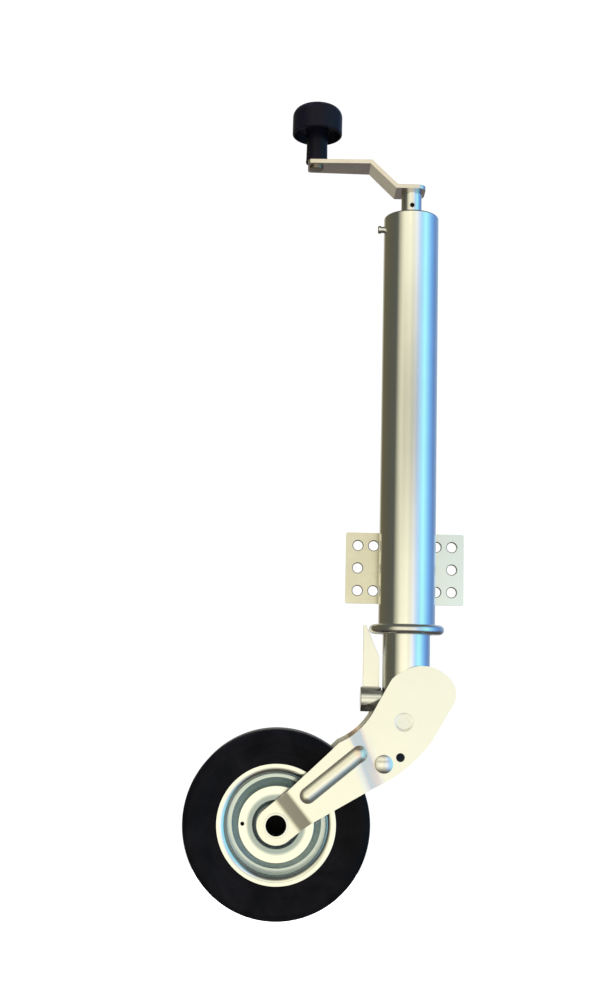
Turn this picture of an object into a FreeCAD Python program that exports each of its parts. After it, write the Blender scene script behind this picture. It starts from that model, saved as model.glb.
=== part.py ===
"""Jockey wheel with an automatic folding fork, as a parametric document in millimetres.

The origin is the centre of the mounting plate's rear face. +Z runs up along the tube, the wheel
trails towards -X, and the plate lies behind the tube, towards +Y.
"""
import FreeCAD, Part
import math
import os
import Sketcher
from FreeCAD import Placement, Rotation, Vector

# Driving dimensions: alias, value in millimetres or degrees, and what it measures
SIZES = [
    ("run_gap", 0.05, "radial clearance of a running fit"),
    ("clear_gap", 0.3, "clearance between pieces that pass each other"),
    ("tube_od", 60, "outer tube, outside diameter"),
    ("tube_wall", 3, "outer tube, wall"),
    ("tube_top", 384, "outer tube, top above the plate's centre"),
    ("tube_foot", 71.6, "outer tube, foot below the plate's centre"),
    ("tube_round", 2.4, "outer tube, rounding of the top edge"),
    ("ring_reach", 9.5, "release ring, reach over the outer tube"),
    ("ring_height", 10.4, "release ring, height"),
    ("plate_width", 128, "mounting plate, width"),
    ("plate_height", 77, "mounting plate, height"),
    ("plate_thick", 6, "mounting plate, thickness"),
    ("plate_corner", 2, "mounting plate, corner radius"),
    ("bolt_hole", 10.5, "mounting plate, hole diameter"),
    ("bolt_edge", 13, "mounting plate, outer hole columns from the side edges"),
    ("bolt_step", 17, "mounting plate, inner hole columns from the outer ones"),
    ("row_edge", 14, "mounting plate, end hole rows from the top and bottom edges"),
    ("weld_leg", 8, "plate weld, leg along the plate"),
    ("weld_start", 9, "plate weld, distance from the tube's back line"),
    ("weld_foot", 4, "plate weld, foot past its throat"),
    ("weld_length", 66, "plate weld, length"),
    ("cap_height", 12, "top cap, height"),
    ("cap_sink", 1, "top cap, depth below the tube's top"),
    ("bearing_gap", 4, "thrust bearing, distance from the tube's bore"),
    ("bearing_height", 9, "thrust bearing, height"),
    ("bearing_relief", 0.6, "thrust bearing, radial play round the spindle"),
    ("bush_wall", 2, "lower guide bush, wall between the two tubes"),
    ("bush_height", 30, "lower guide bush, height"),
    ("bush_lift", 2, "lower guide bush, distance from the tube's foot"),
    ("key_width", 8, "guide key, width"),
    ("key_depth", 1.5, "guide key, depth in the inner tube's groove"),
    ("key_height", 20, "guide key, height"),
    ("key_lift", 12, "guide key, distance from the tube's foot"),
    ("groove_spare", 8, "key groove, length past the key's travel at each end"),
    ("nipple_drop", 13.5, "grease nipple, distance below the tube's top"),
    ("nipple_head", 8.6, "grease nipple, head diameter"),
    ("nipple_neck", 7, "grease nipple, neck diameter"),
    ("nipple_reach", 6.6, "grease nipple, height over the tube"),
    ("nipple_head_height", 3.4, "grease nipple, height of the head"),
    ("nipple_round", 1.5, "grease nipple, rounding of the head"),
    ("spindle_dia", 20, "spindle, diameter"),
    ("spindle_spare", 3, "spindle, length past the nut at full travel"),
    ("collar_gap", 3, "spindle, collar from the line of the inner tube's bore"),
    ("collar_height", 6, "spindle, collar height"),
    ("socket_wall", 1.2, "crank hub, wall round the spindle"),
    ("hub_height", 28.3, "crank hub, height over the cap"),
    ("spindle_short", 2, "spindle, its end below the hub's top"),
    ("roll_pin_dia", 6, "crank roll pin, diameter"),
    ("roll_pin_bore", 4.6, "crank roll pin, bore"),
    ("roll_pin_drop", 17, "crank roll pin, distance below the arm"),
    ("roll_pin_proud", 0.3, "crank roll pin, each end over the hub"),
    ("arm_width", 34, "crank arm, width at the hub"),
    ("arm_tip_width", 28, "crank arm, width at the knob"),
    ("arm_thick", 4.5, "crank arm, thickness"),
    ("arm_rise", 27.5, "crank arm, step between its two levels"),
    ("arm_run_start", 16.3, "crank arm, first bend from the spindle"),
    ("arm_run", 28.4, "crank arm, run of the slope"),
    ("arm_hub_end", 14.5, "crank arm, end past the spindle's axis"),
    ("arm_hub_round", 9, "crank arm, rounding of the corners at the hub"),
    ("arm_tip_end", 9.5, "crank arm, end past the knob's axis"),
    ("arm_tip_round", 4, "crank arm, rounding of the corners at the knob"),
    ("crank_radius", 105.5, "crank arm, spindle to knob"),
    ("knob_pin_dia", 10, "knob pin, diameter"),
    ("knob_pin_length", 52, "knob pin, height over the arm"),
    ("knob_rivet_dia", 15, "knob pin, peened end diameter"),
    ("knob_rivet_height", 2, "knob pin, peened end height"),
    ("knob_head", 55, "knob, head diameter"),
    ("knob_height", 63.7, "knob, height over the arm"),
    ("knob_head_height", 31.5, "knob, height of the head"),
    ("knob_crown", 11, "knob, rounding of the top edge"),
    ("knob_neck", 22.6, "knob, neck diameter"),
    ("knob_foot", 24, "knob, foot diameter"),
    ("knob_hollow", 7, "knob, depth of the hollow under the head"),
    ("knob_foot_height", 4, "knob, height of the foot"),
    ("knob_flare", 1, "knob, widening of the neck in the hollow"),
    ("knob_wall", 3.5, "knob, rim wall round the hollow"),
    ("knob_roof", 6, "knob, material over the pin"),
    ("inner_wall", 3, "inner tube, wall"),
    ("top_gap", 10.7, "inner tube, top below the spindle's collar"),
    ("stroke", 220, "inner tube, travel"),
    ("pivot_edge", 18, "inner tube, foot below the fork's pivot"),
    ("nut_height", 24, "spindle nut, height"),
    ("nut_sink", 2, "spindle nut, depth below the inner tube's top"),
    ("nut_pin_dia", 6, "nut pins, diameter"),
    ("nut_pin_drop", 22.5, "nut pins, distance below the inner tube's top"),
    ("nut_pin_length", 9, "nut pins, length"),
    ("guide_height", 14, "guide ring, height"),
    ("guide_drop", 4, "guide ring, distance below the inner tube's top"),
    ("pivot_left", 4, "fork pivot, distance left of the tube's axis"),
    ("pivot_drop", 161.2, "fork pivot, distance below the plate's centre"),
    ("pivot_dia", 19, "pivot pin, diameter"),
    ("sleeve_wall", 2, "pivot sleeve, wall"),
    ("sleeve_gap", 0.4, "pivot sleeve, each end from the fork cheek"),
    ("pivot_dish", 0.6, "pivot pin, depth of the dished ends"),
    ("pivot_dish_dia", 13.4, "pivot pin, diameter of the dished ends"),
    ("bolt_rise", 21.8, "lock bolt, axis above the pivot"),
    ("lock_dia", 16, "lock bolt, diameter"),
    ("lock_nose", 5, "lock bolt, length of the bevelled nose"),
    ("lock_step", 1.2, "lock bolt, height of the collar"),
    ("lock_collar_length", 3, "lock bolt, collar length"),
    ("lock_collar_reach", 8, "lock bolt, collar right of the tube's axis"),
    ("guide_wall", 2, "bolt guide, wall"),
    ("guide_stand", 11, "bolt guide, outer end from the inner tube"),
    ("guide_sunk", 5, "bolt guide, inner end inside the inner tube"),
    ("barrel_wall", 2.7, "bolt barrel, wall"),
    ("barrel_stand", 22.6, "bolt barrel, closed end from the inner tube"),
    ("barrel_gap", 1.2, "bolt barrel, open end from the inner tube"),
    ("barrel_end", 4, "bolt barrel, thickness of the closed end"),
    ("barrel_edge", 1, "bolt barrel, rounding of the closed end"),
    ("spring_wire", 1.4, "lock spring, wire diameter"),
    ("spring_turns", 4, "lock spring, number of turns"),
    ("wedge_thick", 5, "release wedge, thickness"),
    ("wedge_back", 5.7, "release wedge, back edge past the release ring"),
    ("wedge_gap", 3.2, "release wedge, front edge from the inner tube"),
    ("wedge_tip", 2.8, "release wedge, width of the tip"),
    ("wedge_over", 9.1, "release wedge, tip above the tube's foot"),
    ("wedge_slant", 33, "release wedge, height of the slanted edge"),
    ("catch_gap", 6, "catch plate, near face from the inner tube"),
    ("catch_thick", 6, "catch plate, thickness"),
    ("catch_foot", 6, "catch plate, foot above the pivot"),
    ("catch_top", 40, "catch plate, top above the pivot"),
    ("catch_play", 0.5, "catch plate, play round the lock bolt"),
    ("fork_angle", 39.7, "fork, slope of the arm below level"),
    ("tyre_gap", 20.9, "fork, cross spacer from the tyre"),
    ("sheet", 4, "fork cheek, sheet thickness"),
    ("head_gap", 1, "fork cheek, head from the inner tube"),
    ("joggle_rise", 4, "fork cheek, step from the head out to the arm"),
    ("tyre_side_gap", 5, "fork cheek, arm from the tyre's side"),
    ("tab_level", 22, "fork cheek, inner face at the axle from the mid plane"),
    ("crown_round", 37, "fork cheek, big radius of the cam head"),
    ("crown_small", 24, "fork cheek, small radius of the cam head"),
    ("crown_shoulder", 30, "fork cheek, radius of the head's shoulder"),
    ("belly_round", 144, "fork cheek, radius of the lower edge"),
    ("waist_round", 70, "fork cheek, radius of the upper edge's waist"),
    ("shoulder_run", 17, "fork cheek, shoulder behind the pivot"),
    ("shoulder_half", 41.2, "fork cheek, shoulder over the pivot line"),
    ("crown_run", 33, "fork cheek, start of the big radius behind the pivot"),
    ("crown_half", 40, "fork cheek, start of the big radius over the pivot line"),
    ("cam_run", 64.5, "fork cheek, end of the big radius behind the pivot"),
    ("cam_half", 0.2, "fork cheek, end of the big radius under the pivot line"),
    ("heel_run", 46, "fork cheek, end of the small radius behind the pivot"),
    ("heel_half", 19.5, "fork cheek, end of the small radius under the pivot line"),
    ("flank_run", 13, "fork cheek, end of the straight flank behind the pivot"),
    ("flank_half", 31.5, "fork cheek, end of the straight flank under the pivot line"),
    ("belly_run", 67.5, "fork cheek, end of the lower curve along the arm"),
    ("belly_half", 31.4, "fork cheek, end of the lower curve under the pivot line"),
    ("waist_run", 21.3, "fork cheek, start of the waist along the arm"),
    ("waist_half", 26.1, "fork cheek, start of the waist over the pivot line"),
    ("arm_run_on", 64.4, "fork cheek, end of the waist along the arm"),
    ("arm_half", 25, "fork cheek, end of the waist over the pivot line"),
    ("tab_half", 19.75, "fork cheek, half width and end radius of the axle tab"),
    ("tab_bend", 28.4, "fork cheek, outer bend line before the axle"),
    ("tab_slope", 11, "fork cheek, run of the bend to the axle tab"),
    ("joggle_run", 52.5, "fork cheek, middle of the joggle along the arm"),
    ("joggle_width", 12.4, "fork cheek, run of the joggle"),
    ("joggle_angle", 17.6, "fork cheek, slant of the joggle"),
    ("rib_radius", 10.4, "fork cheek, outside radius of the pressed rib"),
    ("rib_rise", 4, "fork cheek, height of the pressed rib"),
    ("rib_wall", 3.2, "fork cheek, wall of the pressed rib"),
    ("rib_start", 57.2, "fork cheek, first centre of the rib along the arm"),
    ("rib_end", 122.3, "fork cheek, last centre of the rib along the arm"),
    ("rib_half", 4, "fork cheek, rib over the pivot line"),
    ("cross_run", 42.6, "cross pin, distance along the arm"),
    ("cross_half", 19.9, "cross pin, distance under the pivot line"),
    ("cross_dia", 12, "cross pin, diameter"),
    ("cross_head", 18.6, "cross pin, head diameter"),
    ("cross_head_height", 4, "cross pin, head height"),
    ("cross_brim", 1.8, "cross pin, height of the head's brim"),
    ("spacer_wall", 2.5, "cross spacer, wall"),
    ("peep_run", 25.2, "small hole in the cheek, distance along the arm"),
    ("peep_half", 25.3, "small hole in the cheek, distance under the pivot line"),
    ("peep_dia", 9, "small hole in the cheek, diameter"),
    ("axle_dia", 22, "axle tube, outside diameter"),
    ("axle_wall", 2, "axle tube, wall"),
    ("axle_curl", 1.5, "axle tube, reach of the flared ends"),
    ("axle_web", 6, "axle tube, closed web in its middle"),
    ("axle_lip", 1.6, "axle tube, height of the flared end"),
    ("washer_thick", 1, "axle washer, thickness"),
    ("washer_od", 33, "axle washer, outside diameter"),
    ("hub_bush_wall", 2, "hub bush, wall"),
    ("hub_flange", 1.2, "hub bush, flange thickness"),
    ("hub_bush_length", 14, "hub bush, length in the hub"),
    ("hub_wall", 2.5, "hub tube, wall"),
    ("rim_sheet", 1.5, "rim half, sheet thickness"),
    ("rim_reach", 9, "rim half, reach of the flange over the bead seat"),
    ("rim_depth", 20.5, "rim half, flange from the mid plane"),
    ("rim_flare", 8, "rim half, radius of the flange's flare"),
    ("rim_well_gap", 6, "rim half, foot of the disc's slope from the bead seat"),
    ("rim_face_share", 0.6511627907, "rim half, raised disc's width over the room for it"),
    ("rim_face_inner", 49, "rim half, inner diameter of the raised disc"),
    ("rim_face_level", 17, "rim half, raised disc from the mid plane"),
    ("rim_hub_dia", 42, "rim half, diameter of the sunk hub seat"),
    ("rim_hub_level", 12.5, "rim half, sunk hub seat from the mid plane"),
    ("rim_hole", 4, "rim half, small hole diameter"),
    ("rim_hole_edge", 4.1, "rim half, small hole from the raised disc's outer edge"),
    ("tyre_od", 192, "tyre, outside diameter"),
    ("tyre_width", 50, "tyre, width"),
    ("tyre_shoulder", 9, "tyre, shoulder radius"),
    ("tyre_depth", 35, "tyre, tread from the rim's flange"),
    ("tyre_bead", 11, "tyre, width of the bead ring"),
    ("tyre_bead_drop", 3, "tyre, bead ring under the side wall"),
    ("tyre_wall", 12.5, "tyre, start of the side wall from the tread"),
]

SHEET_NAME = "Sizes"
AXIS_X = Vector(1, 0, 0)
AXIS_Y = Vector(0, 1, 0)


class Size:
    """A length or angle that carries both its spreadsheet formula and its value."""

    def __init__(self, text, value):
        self.text = text
        self.value = float(value)

    @staticmethod
    def of(other):
        """Return other as a Size, so that plain numbers mix with cells."""
        if isinstance(other, Size):
            return other
        return Size(repr(other), other)

    def join(self, other, sign, value):
        """Return the Size of self and other joined by an operator sign."""
        return Size(f"({self.text} {sign} {Size.of(other).text})", value)

    def __add__(self, other):
        return self.join(other, "+", self.value + Size.of(other).value)

    def __sub__(self, other):
        return self.join(other, "-", self.value - Size.of(other).value)

    def __mul__(self, other):
        return self.join(other, "*", self.value * Size.of(other).value)

    def __truediv__(self, other):
        return self.join(other, "/", self.value / Size.of(other).value)

    def __radd__(self, other):
        return Size.of(other) + self

    def __rsub__(self, other):
        return Size.of(other) - self

    def __rmul__(self, other):
        return Size.of(other) * self

    def __neg__(self):
        return Size(f"(0 - {self.text})", -self.value)


def cosine(angle):
    """Return the cosine of an angle in degrees."""
    return Size(f"cos({angle.text})", math.cos(math.radians(angle.value)))


def sine(angle):
    """Return the sine of an angle in degrees."""
    return Size(f"sin({angle.text})", math.sin(math.radians(angle.value)))


def root(square):
    """Return the square root of a Size."""
    return Size(f"sqrt({square.text})", math.sqrt(square.value))


def larger(one, other):
    """Return the larger of two Sizes."""
    return Size(f"max({one.text}; {other.text})", max(one.value, other.value))


def bend_lead(thick, run, rise):
    """Return how far the inner corner of a bend in a sheet lies from the outer one."""
    return thick * (root(run * run + rise * rise) - run) / rise


document = FreeCAD.newDocument("JockeyWheel")
sheet = document.addObject("Spreadsheet::Sheet", SHEET_NAME)


class Cells:
    """The driving dimensions by name, as Size values bound to the sheet."""


cells = Cells()
for row, (alias, amount, meaning) in enumerate(SIZES, start=1):
    sheet.set(f"A{row}", meaning)
    sheet.set(f"B{row}", str(amount))
    sheet.setAlias(f"B{row}", alias)
    setattr(cells, alias, Size(f"{SHEET_NAME}.{alias}", amount))
document.recompute()

zero = Size("0", 0)
nodes = []


def bind(thing, path, size):
    """Tie one property of a document object to a formula of the sheet."""
    thing.setExpression(path, Size.of(size).text)


def place(thing, x=zero, y=zero, z=zero, axis=None, angle=None):
    """Set a piece's position from the sheet, and turn it about an axis."""
    if axis is not None:
        thing.Placement = Placement(Vector(0, 0, 0), Rotation(axis, Size.of(angle).value))
        if isinstance(angle, Size):
            bind(thing, "Placement.Rotation.Angle", angle)
    bind(thing, "Placement.Base.x", x)
    bind(thing, "Placement.Base.y", y)
    bind(thing, "Placement.Base.z", z)
    return thing


def publish(thing, label):
    """Name a finished piece as a node of the assembly."""
    thing.Label = label
    nodes.append(thing)
    return thing


class Bend:
    """An arc from one corner of an outline to the next.

    It turns left or right as the outline runs, with a radius, or about a centre's first coordinate.
    """

    def __init__(self, radius, left=True, centre_x=None):
        self.radius = radius
        self.left = left
        self.centre_x = centre_x


def arc_geometry(start, end, bend):
    """Return the arc between two points, and whether it runs from its own start."""
    chord = end - start
    half = chord.Length / 2
    reach = math.sqrt(max(bend.radius.value ** 2 - half ** 2, 0.0))
    normal = Vector(-chord.y, chord.x, 0).normalize()
    centre = (start + end) * 0.5 + normal * (reach if bend.left else -reach)
    first, last = (start, end) if bend.left else (end, start)
    begin = math.atan2(first.y - centre.y, first.x - centre.x)
    finish = math.atan2(last.y - centre.y, last.x - centre.x)
    circle = Part.Circle(centre, Vector(0, 0, 1), bend.radius.value)
    return Part.ArcOfCircle(circle, begin, finish), bend.left


def fix(sketch, geometry, position, x, y):
    """Pin one sketch point to its two coordinates."""
    for kind, axis, size in (("DistanceX", -2, x), ("DistanceY", -1, y)):
        if size.text == "0":
            sketch.addConstraint(Sketcher.Constraint("PointOnObject", geometry, position, axis))
            continue
        number = sketch.addConstraint(
            Sketcher.Constraint(kind, -1, 1, geometry, position, size.value))
        sketch.setExpression(f"Constraints[{number}]", size.text)


def outline(sketch, corners):
    """Draw a closed outline, where each corner is x, y and a Bend if an arc leaves it."""
    corners = [tuple(Size.of(part) if not isinstance(part, Bend) else part for part in corner)
               for corner in corners]
    points = [Vector(corner[0].value, corner[1].value, 0) for corner in corners]
    ends = []
    for number, corner in enumerate(corners):
        start = points[number]
        end = points[(number + 1) % len(points)]
        if len(corner) == 3:
            curve, forward = arc_geometry(start, end, corner[2])
            index = sketch.addGeometry(curve, False)
            ends.append((index, (1, 2) if forward else (2, 1), corner[2]))
        else:
            index = sketch.addGeometry(Part.LineSegment(start, end), False)
            ends.append((index, (1, 2), None))
    for number, (index, sides, bend) in enumerate(ends):
        after, next_sides, _ = ends[(number + 1) % len(ends)]
        sketch.addConstraint(
            Sketcher.Constraint("Coincident", index, sides[1], after, next_sides[0]))
        fix(sketch, index, sides[0], corners[number][0], corners[number][1])
        if bend is None:
            continue
        if bend.centre_x is not None:
            tie = sketch.addConstraint(
                Sketcher.Constraint("DistanceX", -1, 1, index, 3, bend.centre_x.value))
            sketch.setExpression(f"Constraints[{tie}]", bend.centre_x.text)
        else:
            tie = sketch.addConstraint(
                Sketcher.Constraint("Radius", index, bend.radius.value))
            sketch.setExpression(f"Constraints[{tie}]", bend.radius.text)


def hole(sketch, x, y, diameter):
    """Draw one circle in a sketch."""
    x, y, diameter = Size.of(x), Size.of(y), Size.of(diameter)
    circle = Part.Circle(Vector(x.value, y.value, 0), Vector(0, 0, 1), diameter.value / 2)
    index = sketch.addGeometry(circle, False)
    fix(sketch, index, 3, x, y)
    tie = sketch.addConstraint(Sketcher.Constraint("Diameter", index, diameter.value))
    sketch.setExpression(f"Constraints[{tie}]", diameter.text)


def new_body(name):
    """Start a solid body."""
    return document.addObject("PartDesign::Body", name)


def new_sketch(body, name, plane, depth=None):
    """Attach a sketch to one of a body's own origin planes, at a depth along its normal."""
    sketch = body.newObject("Sketcher::SketchObject", name)
    support = [item for item in body.Origin.OriginFeatures if item.Role == plane][0]
    sketch.AttachmentSupport = [(support, "")]
    sketch.MapMode = "FlatFace"
    if depth is not None:
        bind(sketch, "AttachmentOffset.Base.z", depth)
    return sketch


def add_pad(body, name, sketch, length):
    """Extrude a sketch along its plane's normal."""
    feature = body.newObject("PartDesign::Pad", name)
    feature.Profile = sketch
    bind(feature, "Length", length)
    document.recompute()
    return feature


def add_pocket(body, name, sketch, length):
    """Cut a sketch out of a body, against its plane's normal, and prove that it cut."""
    before = body.Shape.Volume
    feature = body.newObject("PartDesign::Pocket", name)
    feature.Profile = sketch
    bind(feature, "Length", length)
    document.recompute()
    if body.Shape.Volume >= before:
        raise RuntimeError(f"{name} cuts nothing")
    return feature


def add_round(body, name, radius, chosen):
    """Round the edges of a body that a test picks."""
    base = body.Tip
    edges = [f"Edge{number}" for number, edge in enumerate(base.Shape.Edges, start=1)
             if chosen(edge)]
    if not edges:
        raise RuntimeError(f"{name} finds no edge")
    feature = body.newObject("PartDesign::Fillet", name)
    feature.Base = (base, edges)
    bind(feature, "Radius", radius)
    document.recompute()
    return feature


def add_revolution(body, name, sketch, axis="V_Axis"):
    """Turn a sketch full circle about one of its own axes."""
    feature = body.newObject("PartDesign::Revolution", name)
    feature.Profile = sketch
    feature.ReferenceAxis = (sketch, [axis])
    feature.Angle = 360.0
    document.recompute()
    return feature


def turned(name, corners):
    """Make a turned body from its half section: radius first, then height."""
    body = new_body(name)
    sketch = new_sketch(body, f"{name}_section", "XZ_Plane")
    outline(sketch, corners)
    add_revolution(body, f"{name}_turn", sketch)
    return body


def tube_section(outer, inner, low, high):
    """Return the four corners of a ring's half section, from two diameters and two levels."""
    return [(outer / 2, low), (outer / 2, high), (inner / 2, high), (inner / 2, low)]


def rod(name, diameter, length):
    """Make a cylinder primitive, used to cut or join."""
    cylinder = document.addObject("Part::Cylinder", name)
    bind(cylinder, "Radius", Size.of(diameter) / 2)
    bind(cylinder, "Height", length)
    return cylinder


def block(name, length, width, height):
    """Make a box primitive, used to cut or join."""
    box = document.addObject("Part::Box", name)
    bind(box, "Length", length)
    bind(box, "Width", width)
    bind(box, "Height", height)
    return box


def cut_away(name, base, tools):
    """Cut several tools from a base, one after another."""
    result = base
    for number, tool in enumerate(tools, start=1):
        step = document.addObject("Part::Cut", f"{name}_{number}")
        step.Base = result
        step.Tool = tool
        document.recompute()
        if step.Shape.Volume >= result.Shape.Volume:
            raise RuntimeError(f"{name} tool {number} cuts nothing")
        result = step
    return result


def mirrored(name, source, plane_y):
    """Make the twin of a piece on the other side of a plane square to Y."""
    twin = document.addObject("Part::Mirroring", name)
    twin.Source = source
    twin.Normal = AXIS_Y
    bind(twin, "Base.y", plane_y)
    document.recompute()
    return twin


# Places that several pieces share
axis_y = -(cells.plate_thick + cells.tube_od / 2)
tube_bore = cells.tube_od - 2 * cells.tube_wall
ring_od = cells.tube_od + 2 * cells.ring_reach
inner_od = tube_bore - 2 * cells.bush_wall
inner_side = inner_od / 2
inner_bore = inner_od - 2 * cells.inner_wall
tube_low = -cells.tube_foot
cap_top = cells.tube_top - cells.cap_sink
cap_low = cap_top - cells.cap_height
bearing_low = cap_low - cells.bearing_height
collar_top = bearing_low - cells.clear_gap
collar_low = collar_top - cells.collar_height
inner_top = collar_low - cells.top_gap
hub_dia = cells.spindle_dia + 2 * cells.socket_wall
hub_low = cells.tube_top + cells.clear_gap
arm_low = hub_low + cells.hub_height
arm_high = arm_low + cells.arm_rise
knob_low = arm_high + cells.arm_thick + cells.clear_gap
pivot_x = -cells.pivot_left
pivot_z = -cells.pivot_drop
lock_z = pivot_z + cells.bolt_rise
inner_foot = pivot_z - cells.pivot_edge
sleeve_od = cells.pivot_dia + 2 * cells.sleeve_wall
guide_od = cells.lock_dia + 2 * cells.guide_wall
guide_inside = inner_side - cells.guide_sunk
barrel_od = guide_od + 2 * cells.clear_gap + 2 * cells.barrel_wall
barrel_left = inner_side + cells.barrel_stand
catch_left = cells.pivot_left + inner_side + cells.catch_gap
spacer_od = cells.cross_dia + 2 * cells.spacer_wall
tyre_clear = (cells.tyre_od + spacer_od) / 2 + cells.tyre_gap
fork_reach = cells.cross_run + root(
    tyre_clear * tyre_clear - cells.cross_half * cells.cross_half)
axle_x = pivot_x - fork_reach * cosine(cells.fork_angle)
axle_z = pivot_z - fork_reach * sine(cells.fork_angle)
arm_level = larger(cells.tyre_width / 2 + cells.tyre_side_gap,
                   inner_side + cells.head_gap + cells.joggle_rise)
head_level = arm_level - cells.joggle_rise
head_outer = head_level + cells.sheet
arm_outer = arm_level + cells.sheet
tab_outer = cells.tab_level + cells.sheet
past_cut = Size("1", 1)  # how far a cutting tool starts outside what it cuts
beyond = fork_reach  # clears the cheek on every side


def make_outer_tube():
    """The outer tube, with its top edge rounded and a hole for the grease nipple."""
    body = turned("tube_blank", tube_section(cells.tube_od, tube_bore, tube_low, cells.tube_top))
    top = cells.tube_top.value
    radius = cells.tube_od.value / 2

    def top_edge(edge):
        box = edge.BoundBox
        return abs(box.ZMin - top) < 0.01 and abs(box.XMax - radius) < 0.01

    add_round(body, "tube_edge", cells.tube_round, top_edge)
    place(body, y=axis_y)
    bore = rod("nipple_bore", cells.nipple_neck, cells.tube_od / 2)
    place(bore, x=zero, y=axis_y, z=cells.tube_top - cells.nipple_drop, axis=AXIS_Y, angle=-90)
    publish(cut_away("outer_tube_drilled", body, [bore]), "outer_tube")


def make_release_ring():
    """The collar round the tube's foot, with a bull nose."""
    half = cells.ring_height / 2
    rim = ring_od / 2 - half
    body = turned("release_ring", [
        (cells.tube_od / 2, tube_low),
        (rim, tube_low, Bend(half, centre_x=rim)),
        (rim, tube_low + cells.ring_height),
        (cells.tube_od / 2, tube_low + cells.ring_height),
    ])
    publish(place(body, y=axis_y), "release_ring")


def make_mounting_plate():
    """The plate behind the tube, with two hole columns on each side and one hole between them."""
    body = new_body("mounting_plate")
    half_x = cells.plate_width / 2
    half_z = cells.plate_height / 2
    outer_column = half_x - cells.bolt_edge
    inner_column = outer_column - cells.bolt_step
    end_row = half_z - cells.row_edge
    sketch = new_sketch(body, "plate_outline", "XZ_Plane")
    outline(sketch, [(-half_x, -half_z), (half_x, -half_z), (half_x, half_z), (-half_x, half_z)])
    add_pad(body, "plate_sheet", sketch, cells.plate_thick)
    add_round(body, "plate_corners", cells.plate_corner,
              lambda edge: edge.BoundBox.YLength > cells.plate_thick.value / 2)
    holes = new_sketch(body, "plate_holes", "XZ_Plane", cells.plate_thick)
    for side in (-1, 1):
        for row in (-1, 0, 1):
            height = end_row * row if row else zero
            hole(holes, outer_column * side, height, cells.bolt_hole)
            if row:
                hole(holes, inner_column * side, height, cells.bolt_hole)
    add_pocket(body, "plate_drilled", holes, cells.plate_thick)
    publish(body, "mounting_plate")


def make_weld_beads():
    """Two fillet welds in the throats between the tube and the plate."""
    radius = cells.tube_od / 2
    toe = cells.weld_start + cells.weld_leg
    climb = radius - root(radius * radius - toe * toe)
    body = new_body("weld_bars")
    sketch = new_sketch(body, "weld_section", "XY_Plane", -cells.weld_length / 2)
    outline(sketch, [
        (cells.weld_start, -cells.plate_thick),
        (cells.weld_start, -cells.plate_thick - climb),
        (toe, -cells.plate_thick - climb),
        (toe + cells.weld_foot, -cells.plate_thick),
    ])
    add_pad(body, "weld_bar", sketch, cells.weld_length)
    core = rod("weld_core", cells.tube_od, cells.weld_length + 2 * past_cut)
    place(core, y=axis_y, z=-(cells.weld_length / 2 + past_cut))
    right = cut_away("weld_right", body, [core])
    left = document.addObject("Part::Mirroring", "weld_left")
    left.Source = right
    left.Normal = AXIS_X
    both = document.addObject("Part::Compound", "weld_pair")
    both.Links = [left, right]
    publish(both, "weld_beads")


def make_tube_fittings():
    """The cap, the thrust bearing, the foot bush, the guide key and the grease nipple."""
    cap = turned("top_cap", tube_section(
        tube_bore, cells.spindle_dia + 2 * cells.run_gap, cap_low, cap_top))
    publish(place(cap, y=axis_y), "top_cap")
    bearing = turned("thrust_bearing", tube_section(
        tube_bore - 2 * cells.bearing_gap, cells.spindle_dia + 2 * cells.bearing_relief,
        bearing_low, cap_low))
    publish(place(bearing, y=axis_y), "thrust_bearing")

    bush_low = tube_low + cells.bush_lift
    bush = turned("bush_ring", tube_section(
        tube_bore, inner_od + 2 * cells.run_gap, bush_low, bush_low + cells.bush_height))
    place(bush, y=axis_y)
    slot = block("bush_slot", cells.key_width, cells.tube_wall + cells.key_depth,
                 cells.bush_height + 2 * past_cut)
    place(slot, x=-cells.key_width / 2, y=axis_y + inner_side - cells.key_depth,
          z=bush_low - past_cut)
    publish(cut_away("lower_bush_cut", bush, [slot]), "lower_bush")

    key = block("key_block", cells.key_width, cells.tube_wall + cells.key_depth, cells.key_height)
    key_inner = inner_side - cells.key_depth
    place(key, x=-cells.key_width / 2, y=axis_y + key_inner, z=tube_low + cells.key_lift)
    shaft = rod("key_bore", tube_bore, cells.key_height)
    place(shaft, y=axis_y, z=tube_low + cells.key_lift)
    fitted = document.addObject("Part::Common", "key_fitted")
    fitted.Base = key
    fitted.Tool = shaft
    publish(fitted, "guide_key")

    inside = cells.tube_od / 2 - cells.tube_wall
    neck_end = cells.tube_od / 2 + cells.nipple_reach - cells.nipple_head_height
    nipple = turned("grease_nipple", [
        (zero, inside), (cells.nipple_neck / 2, inside), (cells.nipple_neck / 2, neck_end),
        (cells.nipple_head / 2, neck_end),
        (cells.nipple_head / 2, neck_end + cells.nipple_head_height),
        (zero, neck_end + cells.nipple_head_height),
    ])
    add_round(nipple, "nipple_crown", cells.nipple_round,
              lambda edge: edge.BoundBox.ZMin > (neck_end + cells.nipple_head_height).value - 0.01)
    place(nipple, y=axis_y, z=cells.tube_top - cells.nipple_drop, axis=AXIS_Y, angle=-90)
    publish(nipple, "grease_nipple")


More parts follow.
